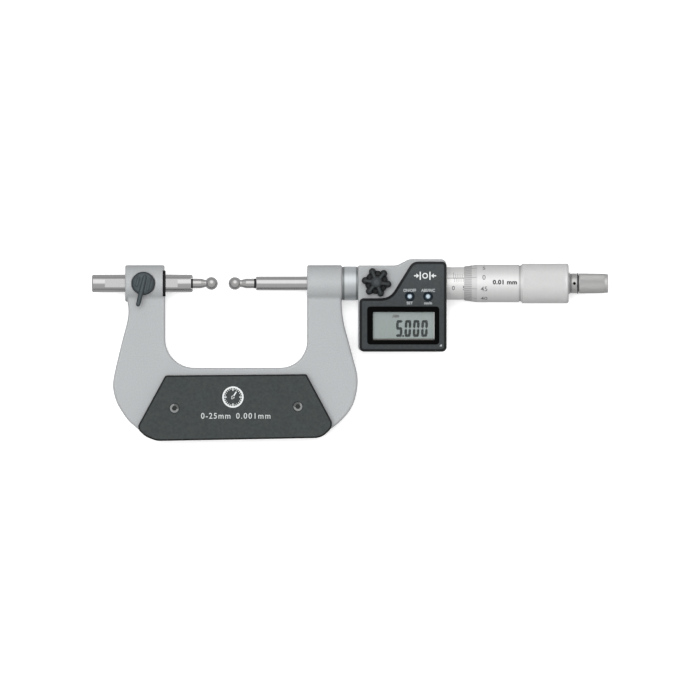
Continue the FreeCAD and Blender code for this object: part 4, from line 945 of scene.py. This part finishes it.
def relief(name, base, z_low, z_mid, z_high, low, high, rough, slope_shade=0.5, flat=(0.70, 0.97), spec=0.4):
    """Moulded plastic with painted shade: darker in its hollows and on its sloping sides, and lighter along its raised
    parts as a painted highlight.
    """
    f = Finish(name, rough=rough, spec=spec)
    grain = f.noise(2800.0, 2.0, 0.6)
    blotch_noise = f.noise(420.0, 3.0, 0.6)
    z = f.apart()[2]
    z = f.maths("ADD", z, f.ranged(blotch_noise, 0.3, 0.7, -0.00018, 0.00018))
    # painted shade low down and painted highlight high up, by height along Z
    k = f.ramp(f.ranged(z, P(0, 0, z_low).z, P(0, 0, z_high).z), [(0.0, low), ((z_mid - z_low) / (z_high - z_low), 1.0), (1.0, high)])
    col = f.ramp(grain, [(0.3, tint(base, 0.86)), (0.7, tint(base, 1.14))])
    col = f.mixed(1.0, col, k, "MULTIPLY")
    # painted shade on the sloping sides
    nz = f.facing()
    col = f.mixed(f.ranged(nz, flat[0], flat[1]), f.mixed(1.0, col, (slope_shade, slope_shade, slope_shade), "MULTIPLY"), col)
    f.link(col, "Base Color")
    f.link(f.ranged(blotch_noise, 0.3, 0.7, rough - 0.05, rough + 0.08), "Roughness")
    f.link(f.bump(grain, 0.000015, 0.6), "Normal")
    return f.mat


# Painted shade in the hollows and on the slopes, and painted highlights on the ridges, of the lock knob and the clamp
# lever.
knob_painted_shade = relief("knob_painted_shade", (0.0340, 0.0375, 0.0400), 12.75, 14.6, 16.05, 0.34, 1.28, 0.36, slope_shade=0.62, flat=(0.55, 0.97), spec=0.16)
lever_painted_shade = relief("lever_painted_shade", (0.038, 0.049, 0.055), 9.2, 10.35, 11.6, 0.38, 1.15, 0.36, slope_shade=0.62, flat=(0.60, 0.95))

KX, KY = 72.0, 0.5
lobes = [51.0 + 60.0 * i for i in range(6)]
solids = [lathe([(0.0, 9.55), (4.95, 9.55), (5.35, 9.95), (5.5, 10.85), (5.35, 11.7), (4.7, 12.1), (3.2, 12.45), (0.0, 12.8)], 72, (KX, KY))]
solids.append(lathe([(0.0, 12.0), (3.3, 12.0), (2.9, 14.1), (2.2, 15.45), (1.2, 16.05), (0.0, 16.18)], 48, (KX, KY)))
for d in lobes:
    a = math.radians(d)
    cxl, cyl_ = KX + 5.38 * math.cos(a), KY + 5.38 * math.sin(a)
    solids.append(lathe([(0.0, 9.55), (1.45, 9.55), (1.64, 9.85), (1.68, 12.35), (1.55, 13.2), (1.15, 13.8), (0.5, 14.12), (0.0, 14.2)], 36, (cxl, cyl_)))
    solids.append(capsule((KX + 5.6 * math.cos(a), KY + 5.6 * math.sin(a), 13.65), (KX, KY, 14.65), 0.78, 1.05, 24, 1.0))
blended("star_knob", solids, 0.13, 4, 0.5, knob_painted_shade, "lock", ["lock_knob"], flat_below=9.7)

LX, LY = -37.5, 0.0
lean = math.radians(13.7)
ux, uy = -math.sin(lean), -math.cos(lean)
solids = [lathe([(0.0, 7.5), (5.1, 7.5), (5.5, 7.75), (5.52, 9.0), (5.35, 9.6), (4.9, 10.0), (4.1, 10.25), (3.0, 10.3), (0.0, 10.3)], 72, (LX, LY))]
solids.append(capsule((LX - ux * 3.0, LY - uy * 3.0, 9.75), (LX + ux * 3.6, LY + uy * 3.6, 9.95), 1.1, 1.2, 28, 1.0))
solids.append(capsule((LX + ux * 3.6, LY + uy * 3.6, 9.95), (LX + ux * 10.1, LY + uy * 10.1, 9.75), 1.2, 1.05, 28, 1.0))
for side, span in ((2.6, 1.0), (-2.75, 0.8)):
    sx, sy = LX - uy * side, LY + ux * side
    solids.append(capsule((sx - ux * 2.4 * span, sy - uy * 2.4 * span, 9.7), (sx + ux * 2.1 * span, sy + uy * 2.1 * span, 9.7), 0.95, 0.95, 20, 1.0))
blended("clamp_lever", solids, 0.12, 5, 0.5, lever_painted_shade, "anvil_lever", ["anvil_clamp_lever"], flat_below=7.6, flat_above=11.65)

# ---- floor, light and camera ------------------------------------------------------------------------

bpy.context.view_layer.update()
floor_mat = bpy.data.materials.new("paper")
floor_mat.use_nodes = True
fb = floor_mat.node_tree.nodes["Principled BSDF"]
fb.inputs["Base Color"].default_value = (0.90, 0.90, 0.90, 1.0)
fb.inputs["Roughness"].default_value = 0.9
fb.inputs["Specular IOR Level"].default_value = 0.0
fb.inputs["Emission Color"].default_value = (1.0, 1.0, 1.0, 1.0)
fb.inputs["Emission Strength"].default_value = 0.34
me = bpy.data.meshes.new("floor")
s = 6.0
me.from_pydata([(-s, -s, 0.0), (s, -s, 0.0), (s, s, 0.0), (-s, s, 0.0)], [], [[0, 1, 2, 3]])
me.materials.append(floor_mat)
floor = bpy.data.objects.new("floor", me)
scene.collection.objects.link(floor)
floor.visible_glossy = False
floor.visible_diffuse = False

# what polished surfaces mirror of the room below them: grey, a little brighter towards +Y
under_mat = bpy.data.materials.new("room_below")
under_mat.use_nodes = True
ut = under_mat.node_tree
ut.nodes.clear()
u_out = ut.nodes.new("ShaderNodeOutputMaterial")
u_em = ut.nodes.new("ShaderNodeEmission")
u_tc = ut.nodes.new("ShaderNodeTexCoord")
u_add = ut.nodes.new("ShaderNodeVectorMath")
u_add.operation = "ADD"
u_add.inputs[1].default_value = (0.0, 0.0, 0.022)
u_norm = ut.nodes.new("ShaderNodeVectorMath")
u_norm.operation = "NORMALIZE"
u_sep = ut.nodes.new("ShaderNodeSeparateXYZ")
u_mul = ut.nodes.new("ShaderNodeMath")
u_mul.operation = "MULTIPLY_ADD"
u_mul.inputs[1].default_value = 0.05
u_mul.inputs[2].default_value = 0.42
ut.links.new(u_tc.outputs["Object"], u_add.inputs[0])
ut.links.new(u_add.outputs["Vector"], u_norm.inputs[0])
ut.links.new(u_norm.outputs["Vector"], u_sep.inputs[0])
ut.links.new(u_sep.outputs[1], u_mul.inputs[0])
ut.links.new(u_mul.outputs[0], u_em.inputs["Strength"])
ut.links.new(u_em.outputs[0], u_out.inputs["Surface"])
me = bpy.data.meshes.new("room_below")
me.from_pydata([(-s, -s, -0.0004), (s, -s, -0.0004), (s, s, -0.0004), (-s, s, -0.0004)], [], [[0, 1, 2, 3]])
me.materials.append(under_mat)
below = bpy.data.objects.new("room_below", me)
scene.collection.objects.link(below)
below.visible_camera = False
below.visible_diffuse = False
below.visible_shadow = False
below.visible_transmission = False

# the soft light that the floor throws back on the object's sides
fill_mat = bpy.data.materials.new("fill_below")
fill_mat.use_nodes = True
ft = fill_mat.node_tree
ft.nodes.clear()
f_out = ft.nodes.new("ShaderNodeOutputMaterial")
f_em = ft.nodes.new("ShaderNodeEmission")
f_em.inputs["Strength"].default_value = 0.72
ft.links.new(f_em.outputs[0], f_out.inputs["Surface"])
me = bpy.data.meshes.new("fill_below")
me.from_pydata([(-s, -s, -0.0002), (s, -s, -0.0002), (s, s, -0.0002), (-s, s, -0.0002)], [], [[0, 1, 2, 3]])
me.materials.append(fill_mat)
fill = bpy.data.objects.new("fill_below", me)
scene.collection.objects.link(fill)
fill.visible_camera = False
fill.visible_glossy = False
fill.visible_shadow = False
fill.visible_transmission = False

world = bpy.data.worlds.new("studio")
scene.world = world
world.use_nodes = True
nt = world.node_tree
bg = nt.nodes["Background"]
tc = nt.nodes.new("ShaderNodeTexCoord")
sep = nt.nodes.new("ShaderNodeSeparateXYZ")
nt.links.new(tc.outputs["Generated"], sep.inputs[0])


def world_math(op, a, b=None, c=None):
    n = nt.nodes.new("ShaderNodeMath")
    n.operation = op
    for i, v in enumerate((a, b, c)):
        if isinstance(v, bpy.types.NodeSocket):
            nt.links.new(v, n.inputs[i])
        elif v is not None:
            n.inputs[i].default_value = v
    return n.outputs[0]


def world_range(v, a, b, c, d, smooth=True):
    n = nt.nodes.new("ShaderNodeMapRange")
    n.interpolation_type = "SMOOTHSTEP" if smooth else "LINEAR"
    for i, q in enumerate((a, b, c, d)):
        n.inputs[i + 1].default_value = q
    nt.links.new(v, n.inputs[0])
    return n.outputs[0]


base = world_range(sep.outputs[2], -0.05, 0.60, 0.28, 0.55)
beyond = world_range(sep.outputs[2], -0.012, -0.004, 1.0, 0.0)
dot = nt.nodes.new("ShaderNodeVectorMath")
dot.operation = "DOT_PRODUCT"
nt.links.new(tc.outputs["Generated"], dot.inputs[0])
dot.inputs[1].default_value = Vector((0.05, 0.469, 0.883)).normalized()
box_light = world_range(dot.outputs["Value"], 0.80, 0.94, 0.0, 0.60)
lean_y = world_math("MULTIPLY", sep.outputs[1], 0.05)
lit = world_math("ADD", world_math("ADD", base, lean_y), box_light)
lit = world_math("MAXIMUM", lit, world_math("MULTIPLY", beyond, 1.05))
nt.links.new(lit, bg.inputs["Strength"])
bg.inputs["Color"].default_value = (1.0, 0.997, 0.992, 1.0)

sun = bpy.data.lights.new("key", "SUN")
sun.energy = 2.8
sun.angle = math.radians(52.0)
key = bpy.data.objects.new("key", sun)
key.rotation_euler = Vector((-0.15, 0.10, 1.0)).to_track_quat("Z", "Y").to_euler()
key.visible_glossy = False
scene.collection.objects.link(key)

cam_data = bpy.data.cameras.new("camera")
cam_data.type = "ORTHO"
cam_data.ortho_scale = 0.3286
cam_data.clip_end = 20.0
camera = bpy.data.objects.new("camera", cam_data)
camera.location = (0.0, 0.0, 0.6)
scene.collection.objects.link(camera)
scene.camera = camera
scene.view_settings.view_transform = "Standard"
scene.view_settings.look = "None"
scene.view_settings.exposure = 0.0
scene.view_settings.gamma = 1.0
